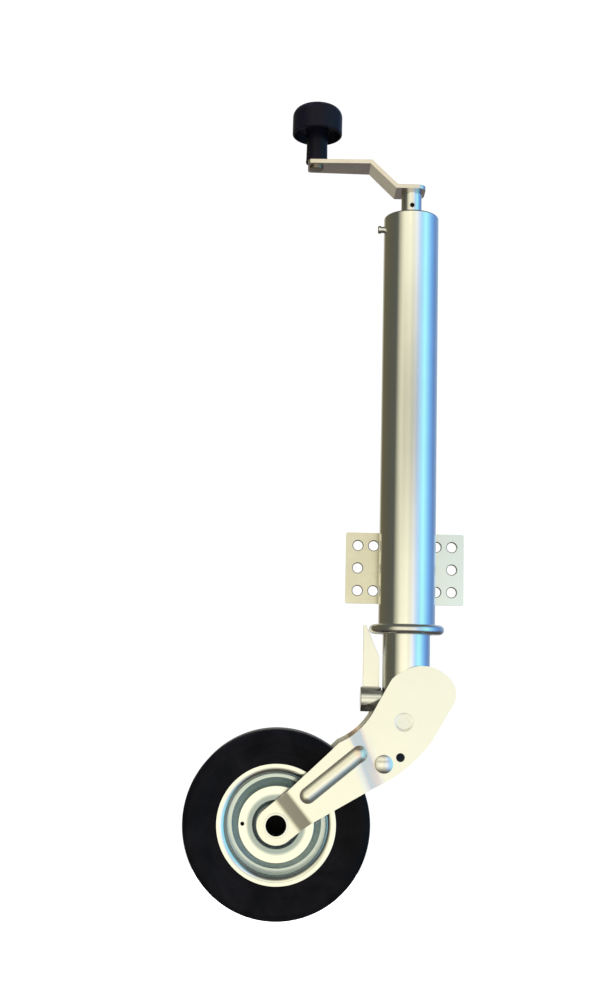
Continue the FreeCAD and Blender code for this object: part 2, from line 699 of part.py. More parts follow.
def make_crank():
    """The spindle, the hub on it, the pin through both, the bent arm and the knob's pin."""
    pin_z = arm_low - cells.roll_pin_drop
    pin_bore = rod("spindle_pin_bore", cells.roll_pin_dia, hub_dia + 2 * past_cut)
    place(pin_bore, y=axis_y + hub_dia / 2 + past_cut, z=pin_z, axis=AXIS_X, angle=90)

    collar = (inner_bore - 2 * cells.collar_gap) / 2
    nut_low = inner_top - cells.nut_sink - cells.nut_height
    foot = nut_low - cells.stroke - cells.spindle_spare
    shaft = turned("spindle_shaft", [
        (zero, foot), (cells.spindle_dia / 2, foot),
        (cells.spindle_dia / 2, collar_low), (collar, collar_low),
        (collar, collar_top), (cells.spindle_dia / 2, collar_top),
        (cells.spindle_dia / 2, arm_low - cells.spindle_short),
        (zero, arm_low - cells.spindle_short),
    ])
    place(shaft, y=axis_y)
    publish(cut_away("spindle_drilled", shaft, [pin_bore]), "spindle")

    hub = turned("hub_socket", tube_section(hub_dia, cells.spindle_dia, hub_low, arm_low))
    place(hub, y=axis_y)
    publish(cut_away("hub_drilled", hub, [pin_bore]), "crank_hub")

    pin_half = hub_dia / 2 + cells.roll_pin_proud
    pin = turned("roll_pin", tube_section(
        cells.roll_pin_dia, cells.roll_pin_bore, -pin_half, pin_half))
    publish(place(pin, y=axis_y, z=pin_z, axis=AXIS_X, angle=90), "roll_pin")

    half = cells.arm_width / 2
    end = cells.arm_hub_end
    far = -(cells.crank_radius + cells.arm_tip_end)
    thick = cells.arm_thick
    lean = bend_lead(thick, cells.arm_run, cells.arm_rise)
    arm = new_body("crank_arm")
    sketch = new_sketch(arm, "arm_profile", "XZ_Plane", -half)
    first = -cells.arm_run_start
    second = first - cells.arm_run
    outline(sketch, [
        (end, arm_low), (end, arm_low + thick), (first, arm_low + thick),
        (second, arm_high + thick), (far, arm_high + thick), (far, arm_high),
        (second - lean, arm_high), (first - lean, arm_low),
    ])
    add_pad(arm, "arm_bar", sketch, cells.arm_width)
    for side in (-1, 1):
        taper = new_sketch(arm, f"arm_taper_{'front' if side < 0 else 'rear'}", "XY_Plane",
                           arm_high + thick)
        outline(taper, [
            (first, half * side), (first, (half + past_cut) * side),
            (far - past_cut, (half + past_cut) * side),
            (far - past_cut, cells.arm_tip_width / 2 * side),
        ])
        add_pocket(arm, f"arm_side_{'front' if side < 0 else 'rear'}", taper,
                   cells.arm_rise + thick)
    for name, radius, place_x in (("arm_hub_corners", cells.arm_hub_round, end.value),
                                  ("arm_tip_corners", cells.arm_tip_round, far.value)):
        add_round(arm, name, radius, lambda edge: abs(edge.BoundBox.XMin - place_x) < 0.01
                  and abs(edge.BoundBox.XMax - place_x) < 0.01
                  and edge.BoundBox.YLength < 0.01)
    bore = new_sketch(arm, "arm_bore", "XY_Plane", arm_high + thick)
    hole(bore, -cells.crank_radius, 0, cells.knob_pin_dia)
    add_pocket(arm, "arm_drilled", bore, thick)
    publish(place(arm, y=axis_y), "crank_arm")

    rivet_low = arm_high - cells.knob_rivet_height
    pin_top = arm_high + thick + cells.knob_pin_length
    stud = turned("knob_pin", [
        (zero, rivet_low), (cells.knob_rivet_dia / 2, rivet_low),
        (cells.knob_rivet_dia / 2, arm_high), (cells.knob_pin_dia / 2, arm_high),
        (cells.knob_pin_dia / 2, pin_top), (zero, pin_top),
    ])
    publish(place(stud, x=-cells.crank_radius, y=axis_y), "knob_pin")


def make_knob():
    """The moulded knob: a flared foot, a neck and a round head with a hollow underneath."""
    top = knob_low + cells.knob_height
    shoulder = top - cells.knob_head_height
    hollow = shoulder + cells.knob_hollow
    roof = top - cells.knob_roof
    head = cells.knob_head / 2
    bore = cells.knob_pin_dia / 2 + cells.run_gap
    body = turned("knob", [
        (bore, knob_low), (cells.knob_foot / 2, knob_low),
        (cells.knob_foot / 2, knob_low + cells.knob_foot_height),
        (cells.knob_neck / 2, shoulder), (cells.knob_neck / 2 + cells.knob_flare, hollow),
        (head - cells.knob_wall, hollow), (head - cells.knob_wall / 2, shoulder),
        (head, shoulder + cells.knob_wall / 2), (head, top - cells.knob_crown,
                                                 Bend(cells.knob_crown)),
        (head - cells.knob_crown, top), (zero, top), (zero, roof), (bore, roof),
    ])
    publish(place(body, x=-cells.crank_radius, y=axis_y), "knob")


def make_inner_tube():
    """The inner tube, with its key groove and the bores of the nut pins, pivot and lock bolt."""
    tube = turned("inner_blank", tube_section(inner_od, inner_bore, inner_foot,
                                              inner_top))
    place(tube, y=axis_y)
    groove_width = cells.key_width + 2 * cells.clear_gap
    groove_low = tube_low + cells.key_lift - cells.groove_spare
    groove = block("key_groove", groove_width, cells.inner_wall,
                   cells.stroke + cells.key_height + 2 * cells.groove_spare)
    place(groove, x=-groove_width / 2,
          y=axis_y + inner_side - cells.key_depth - cells.clear_gap, z=groove_low)
    across = inner_od + 2 * past_cut
    pin_bore = rod("nut_pin_bore", cells.nut_pin_dia, across)
    place(pin_bore, x=across / 2, y=axis_y,
          z=inner_top - cells.nut_pin_drop, axis=AXIS_Y, angle=-90)
    pivot_bore = rod("pivot_bore", sleeve_od, across)
    place(pivot_bore, x=pivot_x, y=axis_y + across / 2, z=pivot_z,
          axis=AXIS_X, angle=90)
    guide_bore = rod("guide_bore", guide_od, inner_side)
    place(guide_bore, x=-inner_od / 4, y=axis_y, z=lock_z, axis=AXIS_Y, angle=-90)
    nose_bore = rod("nose_bore", cells.lock_dia + 2 * cells.clear_gap, inner_side)
    place(nose_bore, x=inner_od / 4, y=axis_y, z=lock_z, axis=AXIS_Y, angle=90)
    publish(cut_away("inner_drilled", tube,
                     [groove, pin_bore, pivot_bore, guide_bore, nose_bore]), "inner_tube")

    nut_top = inner_top - cells.nut_sink
    nut = turned("nut_blank", tube_section(inner_bore, cells.spindle_dia + 2 * cells.run_gap,
                                           nut_top - cells.nut_height, nut_top))
    place(nut, y=axis_y)
    depth = cells.nut_pin_length + cells.clear_gap
    seats = []
    pins = []
    for side, angle in ((1, 90), (-1, -90)):
        inner_end = (inner_side - depth) * side
        seat = rod("nut_seat", cells.nut_pin_dia, depth)
        place(seat, x=inner_end, y=axis_y, z=inner_top - cells.nut_pin_drop,
              axis=AXIS_Y, angle=angle)
        seats.append(seat)
        pin = rod("nut_pin", cells.nut_pin_dia, cells.nut_pin_length)
        place(pin, x=inner_end, y=axis_y, z=inner_top - cells.nut_pin_drop,
              axis=AXIS_Y, angle=angle)
        pins.append(pin)
    publish(cut_away("nut_drilled", nut, seats), "spindle_nut")
    pair = document.addObject("Part::Compound", "nut_pin_pair")
    pair.Links = pins
    publish(pair, "nut_pins")

    guide_top = inner_top - cells.guide_drop
    ring = turned("guide_ring", tube_section(tube_bore - 2 * cells.run_gap, inner_od,
                                             guide_top - cells.guide_height, guide_top))
    publish(place(ring, y=axis_y), "guide_ring")

    half = head_level - cells.sleeve_gap
    sleeve = turned("pivot_sleeve", tube_section(
        sleeve_od, cells.pivot_dia + 2 * cells.run_gap, -half, half))
    publish(place(sleeve, x=pivot_x, y=axis_y, z=pivot_z, axis=AXIS_X, angle=90), "pivot_sleeve")

    guide = turned("bolt_guide", tube_section(
        guide_od, cells.lock_dia + 2 * cells.run_gap, guide_inside,
        inner_side + cells.guide_stand))
    publish(place(guide, y=axis_y, z=lock_z, axis=AXIS_Y, angle=-90), "bolt_guide")


def make_lock():
    """The lock bolt, its barrel, the wedge that the release ring pushes, and the spring."""
    tip = catch_left - cells.pivot_left + cells.lock_nose - cells.clear_gap
    nose_start = tip - cells.lock_nose
    collar_left = cells.lock_collar_reach
    collar_right = collar_left + cells.lock_collar_length
    seat = barrel_left - cells.barrel_end
    shank = cells.lock_dia / 2
    bolt = turned("lock_bolt", [
        (zero, -tip), (shank - cells.lock_nose, -tip), (shank, -nose_start),
        (shank, -collar_right), (shank + cells.lock_step, -collar_right),
        (shank + cells.lock_step, -collar_left), (shank, -collar_left), (shank, seat),
        (zero, seat),
    ])
    publish(place(bolt, y=axis_y, z=lock_z, axis=AXIS_Y, angle=-90), "lock_bolt")

    bore = guide_od / 2 + cells.clear_gap
    barrel = turned("bolt_barrel", [
        (zero, seat), (bore, seat), (bore, inner_side + cells.barrel_gap),
        (barrel_od / 2, inner_side + cells.barrel_gap), (barrel_od / 2, barrel_left),
        (zero, barrel_left),
    ])
    add_round(barrel, "barrel_rounded", cells.barrel_edge,
              lambda edge: edge.BoundBox.ZMin > barrel_left.value - 0.01)
    publish(place(barrel, y=axis_y, z=lock_z, axis=AXIS_Y, angle=-90), "bolt_barrel")

    wedge = new_body("wedge_plate")
    half = cells.wedge_thick / 2
    top = tube_low + cells.wedge_over
    back = ring_od / 2 + cells.wedge_back
    front = inner_side + cells.wedge_gap
    sketch = new_sketch(wedge, "wedge_outline", "XZ_Plane", -half)
    outline(sketch, [
        (-back, lock_z), (-front, lock_z), (-front, top - cells.wedge_slant),
        (cells.wedge_tip - back, top), (-back, top),
    ])
    add_pad(wedge, "wedge_sheet", sketch, cells.wedge_thick)
    place(wedge, y=axis_y)
    saddle = rod("wedge_saddle", barrel_od, barrel_left + past_cut)
    place(saddle, y=axis_y, z=lock_z, axis=AXIS_Y, angle=-90)
    publish(cut_away("wedge_seated", wedge, [saddle]), "release_wedge")

    wire = cells.spring_wire
    coil = (cells.lock_dia + wire) / 2 + cells.clear_gap / 2
    length = guide_inside + cells.lock_collar_reach - wire - 2 * cells.clear_gap
    pitch = length.value / cells.spring_turns.value
    helix = Part.makeHelix(pitch, length.value, coil.value)
    start = Vector(coil.value, 0, 0)
    section = Part.Wire([Part.makeCircle(wire.value / 2, start, AXIS_Y)])
    spring = document.addObject("Part::Feature", "lock_spring")
    spring.Shape = Part.Wire(helix.Edges).makePipeShell([section], True, True)
    place(spring, x=collar_left - wire / 2 - cells.clear_gap, y=axis_y, z=lock_z,
          axis=AXIS_Y, angle=-90)
    publish(spring, "lock_spring")


def make_cheek():
    """The pressed fork cheek: cam head, slanted joggle, ribbed arm and axle tab.

    The cheek lies along its arm: x runs from the pivot to the axle, and z towards the lower edge.
    A block with the cheek's outline is cut down to the bent sheet on both sides.
    """
    body = new_body("fork_cheek")
    reach = fork_reach
    tab = cells.tab_half
    bend = reach - cells.tab_bend
    blank = new_sketch(body, "cheek_outline", "XZ_Plane", cells.tab_level)
    outline(blank, [
        (-cells.crown_run, -cells.crown_half, Bend(cells.crown_round, left=False)),
        (-cells.cam_run, cells.cam_half, Bend(cells.crown_small, left=False)),
        (-cells.heel_run, cells.heel_half),
        (-cells.flank_run, cells.flank_half, Bend(cells.belly_round, left=False)),
        (cells.belly_run, cells.belly_half),
        (bend, tab),
        (reach, tab, Bend(tab, left=False, centre_x=reach)),
        (reach, -tab),
        (bend, -tab),
        (cells.arm_run_on, -cells.arm_half, Bend(cells.waist_round, left=True)),
        (cells.waist_run, -cells.waist_half),
        (-cells.shoulder_run, -cells.shoulder_half, Bend(cells.crown_shoulder, left=False)),
    ])
    add_pad(body, "cheek_block", blank, arm_outer - cells.tab_level)

    tab_start = bend + cells.tab_slope
    middle = (bend + cells.joggle_run) / 2
    past_tip = reach + beyond
    bend_cut = new_sketch(body, "tab_bend_section", "XY_Plane", beyond)
    outline(bend_cut, [
        (bend, -arm_outer), (tab_start, -tab_outer), (past_tip, -tab_outer),
        (past_tip, -arm_outer - beyond), (bend, -arm_outer - beyond),
    ])
    add_pocket(body, "tab_outside", bend_cut, 2 * beyond)
    half = cells.joggle_width / 2
    lead = bend_lead(cells.sheet, cells.joggle_width, cells.joggle_rise)
    over_head = joggle_sketch(body, "head_section")
    outline(over_head, [
        (half, -arm_outer), (half, -arm_outer - beyond), (-beyond, -arm_outer - beyond),
        (-beyond, -head_outer), (-half, -head_outer),
    ])
    add_pocket(body, "head_outside", over_head, 2 * beyond)

    rib_centre = arm_outer + cells.rib_rise - cells.rib_radius
    add_rib(body, "rib_press", "PartDesign::Revolution", cells.rib_radius, rib_centre)

    inner_lead = bend_lead(cells.sheet, cells.tab_slope, arm_level - cells.tab_level)
    under_cut = new_sketch(body, "arm_hollow_section", "XY_Plane", beyond)
    outline(under_cut, [
        (bend - inner_lead, -arm_level), (tab_start - inner_lead, -cells.tab_level),
        (tab_start, zero), (middle - cells.joggle_width, zero),
        (middle - cells.joggle_width, -arm_level),
    ])
    add_pocket(body, "arm_inside", under_cut, 2 * beyond)

    under_head = joggle_sketch(body, "joggle_hollow_section")
    outline(under_head, [
        (half + lead, -arm_level), (middle - cells.joggle_run, -arm_level),
        (middle - cells.joggle_run, zero), (-beyond, zero),
        (-beyond, -head_level), (lead - half, -head_level),
    ])
    add_pocket(body, "head_inside", under_head, 2 * beyond)
    add_rib(body, "rib_hollow", "PartDesign::Groove", cells.rib_radius - cells.rib_wall,
            rib_centre)

    bores = new_sketch(body, "cheek_bores", "XZ_Plane", arm_outer + beyond)
    hole(bores, 0, 0, cells.pivot_dia)
    hole(bores, reach, 0, cells.axle_dia)
    hole(bores, cells.cross_run, cells.cross_half, cells.cross_dia)
    add_pocket(body, "cheek_drilled", bores, arm_outer + beyond)
    return seat_on_fork(body)


def joggle_sketch(body, name):
    """Start a sketch square to the slanted joggle line, with its x from the joggle's middle."""
    sketch = new_sketch(body, name, "XY_Plane")
    sketch.AttachmentOffset = Placement(Vector(0, 0, 0),
                                        Rotation(AXIS_Y, cells.joggle_angle.value))
    bind(sketch, "AttachmentOffset.Rotation.Angle", cells.joggle_angle)
    bind(sketch, "AttachmentOffset.Base.x",
         cells.joggle_run + beyond * sine(cells.joggle_angle))
    bind(sketch, "AttachmentOffset.Base.z", beyond * cosine(cells.joggle_angle))
    return sketch


def add_rib(body, name, kind, radius, depth):
    """Add or cut a round-ended rod along the arm, at a depth in front of the mid plane."""
    before = body.Shape.Volume
    sketch = new_sketch(body, f"{name}_section", "XZ_Plane", depth)
    bind(sketch, "AttachmentOffset.Base.y", -cells.rib_half)
    start = cells.rib_start
    end = cells.rib_end
    outline(sketch, [
        (start - radius, zero), (end + radius, zero, Bend(radius, centre_x=end)),
        (end, radius), (start, radius, Bend(radius, centre_x=start)),
    ])
    feature = body.newObject(kind, name)
    feature.Profile = sketch
    feature.ReferenceAxis = (sketch, ["H_Axis"])
    feature.Angle = 360.0
    document.recompute()
    grown = body.Shape.Volume - before
    if grown == 0 or (grown < 0) != (kind == "PartDesign::Groove"):
        raise RuntimeError(f"{name} changes nothing")
    return feature


def seat_on_fork(thing):
    """Lay a piece that is drawn along the arm into its place on the pivot."""
    return place(thing, x=pivot_x, y=axis_y, z=pivot_z, axis=AXIS_Y,
                 angle=180 - cells.fork_angle)


def fork_point(run, half):
    """Return the x and z of a point given along the arm and under the pivot line."""
    slope = cells.fork_angle
    x = pivot_x - run * cosine(slope) + half * sine(slope)
    z = pivot_z - run * sine(slope) - half * cosine(slope)
    return x, z


def make_fork():
    """The two cheeks, the pivot pin, the cross pin with its spacer, the catch and the axle."""
    cheek = make_cheek()
    peep_x, peep_z = fork_point(cells.peep_run, cells.peep_half)
    peep = rod("peep_bore", cells.peep_dia, cells.sheet + 2 * past_cut)
    place(peep, x=peep_x, y=axis_y - head_level + past_cut, z=peep_z, axis=AXIS_X, angle=90)
    publish(cut_away("cheek_peep", cheek, [peep]), "fork_cheek_front")
    publish(mirrored("cheek_twin", cheek, axis_y), "fork_cheek_rear")

    radius = cells.pivot_dia / 2
    rim = cells.pivot_dish_dia / 2
    pin = turned("pivot_pin", [
        (zero, -head_outer + cells.pivot_dish), (rim, -head_outer + cells.pivot_dish),
        (radius, -head_outer), (radius, head_outer), (rim, head_outer - cells.pivot_dish),
        (zero, head_outer - cells.pivot_dish),
    ])
    publish(place(pin, x=pivot_x, y=axis_y, z=pivot_z, axis=AXIS_X, angle=90), "pivot_pin")

    cross_x, cross_z = fork_point(cells.cross_run, cells.cross_half)
    head = cells.cross_head / 2
    shank = cells.cross_dia / 2
    high = head_outer + cells.cross_head_height
    mid = head_outer + cells.cross_brim
    crown = cells.cross_head_height - cells.cross_brim
    dome = Bend((head * head + crown * crown) / (2 * crown))
    rivet = turned("cross_pin", [
        (zero, -high, dome), (head, -mid), (head, -head_outer), (shank, -head_outer),
        (shank, head_outer), (head, head_outer), (head, mid, dome), (zero, high),
    ])
    publish(place(rivet, x=cross_x, y=axis_y, z=cross_z, axis=AXIS_X, angle=90), "cross_pin")
    spacer = turned("cross_spacer", tube_section(
        spacer_od, cells.cross_dia, -head_level, head_level))
    publish(place(spacer, x=cross_x, y=axis_y, z=cross_z, axis=AXIS_X, angle=90), "cross_spacer")

    catch = new_body("catch_plate")
    sketch = new_sketch(catch, "catch_outline", "XZ_Plane", -head_level)
    left = catch_left
    outline(sketch, [
        (left, cells.catch_foot), (left + cells.catch_thick, cells.catch_foot),
        (left + cells.catch_thick, cells.catch_top), (left, cells.catch_top),
    ])
    add_pad(catch, "catch_bar", sketch, 2 * head_level)
    bore = new_sketch(catch, "catch_bore", "YZ_Plane", left + cells.catch_thick)
    hole(bore, 0, cells.bolt_rise, cells.lock_dia + 2 * cells.catch_play)
    add_pocket(catch, "catch_drilled", bore, cells.catch_thick)
    publish(place(catch, x=pivot_x, y=axis_y, z=pivot_z), "catch_plate")

    outer = cells.axle_dia / 2
    wall = cells.axle_wall
    bore_radius = outer - wall
    flare = outer + cells.axle_curl
    lip = tab_outer + cells.axle_lip
    web = cells.axle_web / 2
    axle = turned("axle_tube", [
        (outer, -tab_outer), (flare, -tab_outer), (flare, -lip), (flare - wall, -lip),
        (bore_radius, wall - tab_outer), (bore_radius, -web), (zero, -web), (zero, web),
        (bore_radius, web), (bore_radius, tab_outer - wall), (flare - wall, lip),
        (flare, lip), (flare, tab_outer), (outer, tab_outer),
    ])
    publish(place(axle, x=axle_x, y=axis_y, z=axle_z, axis=AXIS_X, angle=90), "axle_tube")

    washer_inner = cells.tab_level - cells.washer_thick
    rings = []
    for side in (-1, 1):
        ring = turned("axle_washer", tube_section(
            cells.washer_od, cells.axle_dia,
            washer_inner * side, cells.tab_level * side))
        rings.append(place(ring, x=axle_x, y=axis_y, z=axle_z, axis=AXIS_X, angle=90))
    pair = document.addObject("Part::Compound", "axle_washer_pair")
    pair.Links = rings
    publish(pair, "axle_washers")


def make_wheel():
    """The rim halves, the hub tube, its two bushes and the tyre."""
    def on_axle(thing):
        """Lay a turned piece on the axle, with its height towards the front."""
        return place(thing, x=axle_x, y=axis_y, z=axle_z, axis=AXIS_X, angle=90)

    bush_end = cells.tab_level - cells.washer_thick - cells.clear_gap
    hub_half = bush_end - cells.hub_flange
    bush_bore = cells.axle_dia + 2 * cells.run_gap
    bush_od = cells.axle_dia + 2 * cells.hub_bush_wall
    hub_od = bush_od + 2 * cells.hub_wall

    publish(on_axle(turned("hub_tube", tube_section(hub_od, bush_od, -hub_half, hub_half))),
            "hub_tube")
    bush = on_axle(turned("hub_bush", [
        (bush_bore / 2, hub_half - cells.hub_bush_length),
        (bush_od / 2, hub_half - cells.hub_bush_length), (bush_od / 2, hub_half),
        (hub_od / 2, hub_half), (hub_od / 2, bush_end), (bush_bore / 2, bush_end),
    ]))
    publish(bush, "hub_bush_front")
    publish(mirrored("hub_bush_twin", bush, axis_y), "hub_bush_rear")

    thick = cells.rim_sheet
    outer = cells.tyre_od / 2
    rim = outer - cells.tyre_depth
    seat = rim - cells.rim_reach
    well = seat - cells.rim_well_gap
    face_in = cells.rim_face_inner / 2
    face_out = face_in + (well - face_in) * cells.rim_face_share
    sunk = cells.rim_hub_dia / 2
    level = cells.rim_face_level
    low = cells.rim_hub_level
    lip = cells.rim_depth
    curl = cells.rim_flare
    turn = seat - thick + curl
    crook = Bend(curl - thick)
    half = turned("rim_blank", [
        (hub_od / 2, low), (sunk, low), (face_in, level), (face_out, level),
        (well, thick), (seat - thick, thick), (seat - thick, lip - curl, Bend(curl, left=False)),
        (turn, lip), (rim, lip), (rim, lip - thick), (turn, lip - thick, crook),
        (seat, lip - curl), (seat, zero), (well - thick, zero),
        (face_out - thick, level - thick),
        (face_in + thick, level - thick), (sunk + thick, low - thick),
        (hub_od / 2, low - thick),
    ])
    on_axle(half)
    small = rod("rim_vent", cells.rim_hole, cells.rim_depth)
    place(small, x=axle_x - face_out + cells.rim_hole_edge, y=axis_y, z=axle_z, axis=AXIS_X,
          angle=90)
    front = cut_away("rim_drilled", half, [small])
    publish(front, "rim_half_front")
    publish(mirrored("rim_twin", front, axis_y), "rim_half_rear")

    side = cells.tyre_width / 2
    corner = cells.tyre_shoulder
    bead = rim + cells.tyre_bead
    wall = outer - cells.tyre_wall
    dip = side - cells.tyre_bead_drop
    flange = rim + cells.clear_gap
    tyre = turned("tyre", [
        (seat, curl - lip, crook), (turn, thick - lip), (rim, thick - lip), (flange, -lip),
        (bead, -dip), (wall, -side),
        (outer - corner, -side, Bend(corner)), (outer, -(side - corner)),
        (outer, side - corner, Bend(corner)), (outer - corner, side), (wall, side),
        (bead, dip), (flange, lip), (rim, lip - thick), (turn, lip - thick, crook),
        (seat, lip - curl),
    ])
    publish(on_axle(tyre), "tyre")


make_outer_tube()
make_release_ring()
make_mounting_plate()
make_weld_beads()
make_tube_fittings()
make_crank()
make_knob()
make_inner_tube()
make_lock()
make_fork()
make_wheel()
document.recompute()

for thing in document.Objects:
    if "Invalid" in thing.State or "Error" in thing.State:
        raise RuntimeError(f"{thing.Label} did not build: {thing.State}")
for thing in nodes:
    if thing.Shape.isNull() or not thing.Shape.isValid():
        raise RuntimeError(f"{thing.Label} has no valid shape")

os.makedirs("parts", exist_ok=True)
for thing in nodes:
    thing.Shape.exportStep(f"parts/{thing.Label}.step")
    box = thing.Shape.BoundBox
    print(f"{thing.Label:18s} solids {len(thing.Shape.Solids)} volume {thing.Shape.Volume:10.0f}"
          f"  x {box.XMin:7.1f} {box.XMax:7.1f}  y {box.YMin:7.1f} {box.YMax:7.1f}"
          f"  z {box.ZMin:7.1f} {box.ZMax:7.1f}")
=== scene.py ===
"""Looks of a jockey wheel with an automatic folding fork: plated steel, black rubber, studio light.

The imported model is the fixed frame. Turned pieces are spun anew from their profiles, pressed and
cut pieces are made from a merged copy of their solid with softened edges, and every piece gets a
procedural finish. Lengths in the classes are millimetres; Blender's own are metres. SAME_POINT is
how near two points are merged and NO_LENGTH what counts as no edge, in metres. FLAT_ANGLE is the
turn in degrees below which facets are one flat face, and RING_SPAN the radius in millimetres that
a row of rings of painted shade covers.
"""

import logging
import math
from contextlib import contextmanager
from dataclasses import dataclass
from enum import Enum
from typing import Iterator, Sequence

import bmesh
import bpy
from mathutils import Matrix, Vector


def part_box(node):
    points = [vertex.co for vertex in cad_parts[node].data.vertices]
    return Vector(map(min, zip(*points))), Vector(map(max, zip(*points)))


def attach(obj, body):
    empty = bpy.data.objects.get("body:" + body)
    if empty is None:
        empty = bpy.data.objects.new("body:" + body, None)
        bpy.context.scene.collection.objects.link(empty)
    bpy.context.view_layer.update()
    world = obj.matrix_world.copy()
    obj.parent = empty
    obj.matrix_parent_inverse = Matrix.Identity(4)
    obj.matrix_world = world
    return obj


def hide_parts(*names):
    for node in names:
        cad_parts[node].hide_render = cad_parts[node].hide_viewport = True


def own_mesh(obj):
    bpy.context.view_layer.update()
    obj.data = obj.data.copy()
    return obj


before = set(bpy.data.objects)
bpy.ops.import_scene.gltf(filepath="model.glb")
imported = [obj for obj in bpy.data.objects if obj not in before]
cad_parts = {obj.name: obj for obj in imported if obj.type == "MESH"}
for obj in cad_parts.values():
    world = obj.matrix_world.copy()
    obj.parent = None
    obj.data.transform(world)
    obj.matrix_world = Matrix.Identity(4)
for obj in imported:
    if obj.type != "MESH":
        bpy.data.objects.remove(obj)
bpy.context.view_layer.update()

MM = 0.001
AXIS_X = Vector((1, 0, 0))
AXIS_Y = Vector((0, 1, 0))
AXIS_Z = Vector((0, 0, 1))
TUBE_AXIS = Vector((0, -36, 0))
KNOB_AXIS = Vector((-105.5, -36, 0))
AXLE = Vector((-132.04, -36, -267.5))
SAME_POINT = 2e-6
NO_LENGTH = 1e-7
FLAT_ANGLE = 0.4
RING_SPAN = 100.0

Colour = tuple[float, float, float]
Material = bpy.types.Material
Node = bpy.types.Node
Piece = bpy.types.Object
Socket = bpy.types.NodeSocket
Profile = Sequence[tuple[float, float]]

logging.basicConfig(level=logging.INFO, format="%(name)s: %(message)s")
log = logging.getLogger("jockey_wheel")


# ---------------------------------------------------------------- modelling bench

def pick(piece: Piece) -> None:
    """Select one piece alone and make it the active one.

    Args:
        piece: the object to work on.
    """
    if bpy.context.object and bpy.context.object.mode != "OBJECT":
        bpy.ops.object.mode_set(mode="OBJECT")
    bpy.ops.object.select_all(action="DESELECT")
    piece.select_set(True)
    bpy.context.view_layer.objects.active = piece


@contextmanager
def editing(piece: Piece, mode: str = "VERT") -> Iterator[bmesh.types.BMesh]:
    """Edit mode on one piece, left again at the end.

    Args:
        piece: the mesh object to edit.
        mode: VERT, EDGE or FACE selection.

    Returns:
        The edit mesh, for choosing what the next operator acts on.
    """
    pick(piece)
    bpy.ops.object.mode_set(mode="EDIT")
    bpy.ops.mesh.select_mode(type=mode)
    try:
        yield bmesh.from_edit_mesh(piece.data)
    finally:
        bpy.ops.object.mode_set(mode="OBJECT")


def first_point(name: str, place: Vector) -> Piece:
    """Shrink a small plane to one point, from which a profile is drawn.

    Args:
        name: name of the piece.
        place: the point, in millimetres.

    Returns:
        A mesh object at the origin with a single point.
    """
    bpy.ops.object.select_all(action="DESELECT")
    bpy.ops.mesh.primitive_plane_add(size=0.01, location=(0, 0, 0))
    piece = bpy.context.object
    piece.name = piece.data.name = name
    with editing(piece):
        bpy.ops.mesh.select_all(action="SELECT")
        bpy.ops.mesh.merge(type="CENTER")
        bpy.ops.transform.translate(value=tuple(place * MM))
    return piece


def turned(name: str, profile: Profile, centre: Vector, axis: Vector, steps: int = 128) -> Piece:
    """Spin a closed profile round an axis into a solid of revolution.

    Args:
        name: name of the piece.
        profile: (radius, height) pairs in order round the section, in millimetres.
        centre: a point on the axis, from which heights are measured.
        axis: the axis, along which heights grow.
        steps: number of facets round the axis.

    Returns:
        The turned piece, closed, with its faces outwards.
    """
    out = AXIS_X if abs(axis.x) < 0.5 else AXIS_Y
    points = [centre + axis * height + out * radius for radius, height in profile]
    piece = first_point(name, points[0])
    ring = points + points[:1]
    with editing(piece):
        for before, after in zip(ring, ring[1:]):
            step = tuple((after - before) * MM)
            bpy.ops.mesh.extrude_region_move(TRANSFORM_OT_translate={"value": step})
        bpy.ops.mesh.select_all(action="SELECT")
        bpy.ops.mesh.remove_doubles(threshold=SAME_POINT)
        bpy.ops.mesh.spin(steps=steps, angle=math.tau, center=tuple(centre * MM),
                          axis=tuple(axis))
        bpy.ops.mesh.select_all(action="SELECT")
        bpy.ops.mesh.remove_doubles(threshold=SAME_POINT)
        bpy.ops.mesh.dissolve_degenerate(threshold=NO_LENGTH)
        bpy.ops.mesh.normals_make_consistent(inside=False)
    return piece


def rounded(corner: tuple[float, float], start: float, end: float, radius: float, count: int = 6
            ) -> list[tuple[float, float]]:
    """Points of an arc in a profile.

    Args:
        corner: centre of the arc as (radius, height).
        start: first angle in degrees, from the outward direction towards the height.
        end: last angle in degrees.
        radius: radius of the arc.
        count: number of steps.

    Returns:
        The points from start to end.
    """
    angles = [math.radians(start + (end - start) * i / count) for i in range(count + 1)]
    return [(corner[0] + radius * math.cos(a), corner[1] + radius * math.sin(a)) for a in angles]


def copied(node: str, name: str, whole: bool = True) -> Piece:
    """Make a merged copy of a solid.

    Args:
        node: the solid's name in the frame.
        name: name of the new piece.
        whole: whether its flat faces are made whole again.

    Returns:
        The copy, at the origin.
    """
    piece = bpy.data.objects.new(name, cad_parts[node].data.copy())
    piece.data.name = name
    bpy.context.scene.collection.objects.link(piece)
    piece.data.materials.clear()
    pick(piece)
    bpy.ops.mesh.customdata_custom_splitnormals_clear()
    with editing(piece):
        bpy.ops.mesh.select_all(action="SELECT")
        bpy.ops.mesh.remove_doubles(threshold=SAME_POINT)
        if whole:
            bpy.ops.mesh.dissolve_limited(angle_limit=math.radians(FLAT_ANGLE))
    return piece


def soften(piece: Piece, width: float, angle: float = 30, segments: int = 2) -> None:
    """Round a piece's sharp edges with an applied bevel.

    Args:
        piece: the piece.
        width: width of the rounding in millimetres.
        angle: edges that turn by more than this, in degrees, are rounded.
        segments: steps across the rounding.
    """
    pick(piece)
    bpy.ops.object.modifier_add(type="BEVEL")
    bevel = piece.modifiers[-1]
    bevel.width = width * MM
    bevel.segments = segments
    bevel.limit_method = "ANGLE"
    bevel.angle_limit = math.radians(angle)
    bevel.use_clamp_overlap = True
    bevel.miter_outer = "MITER_ARC"
    bpy.ops.object.modifier_apply(modifier=bevel.name)


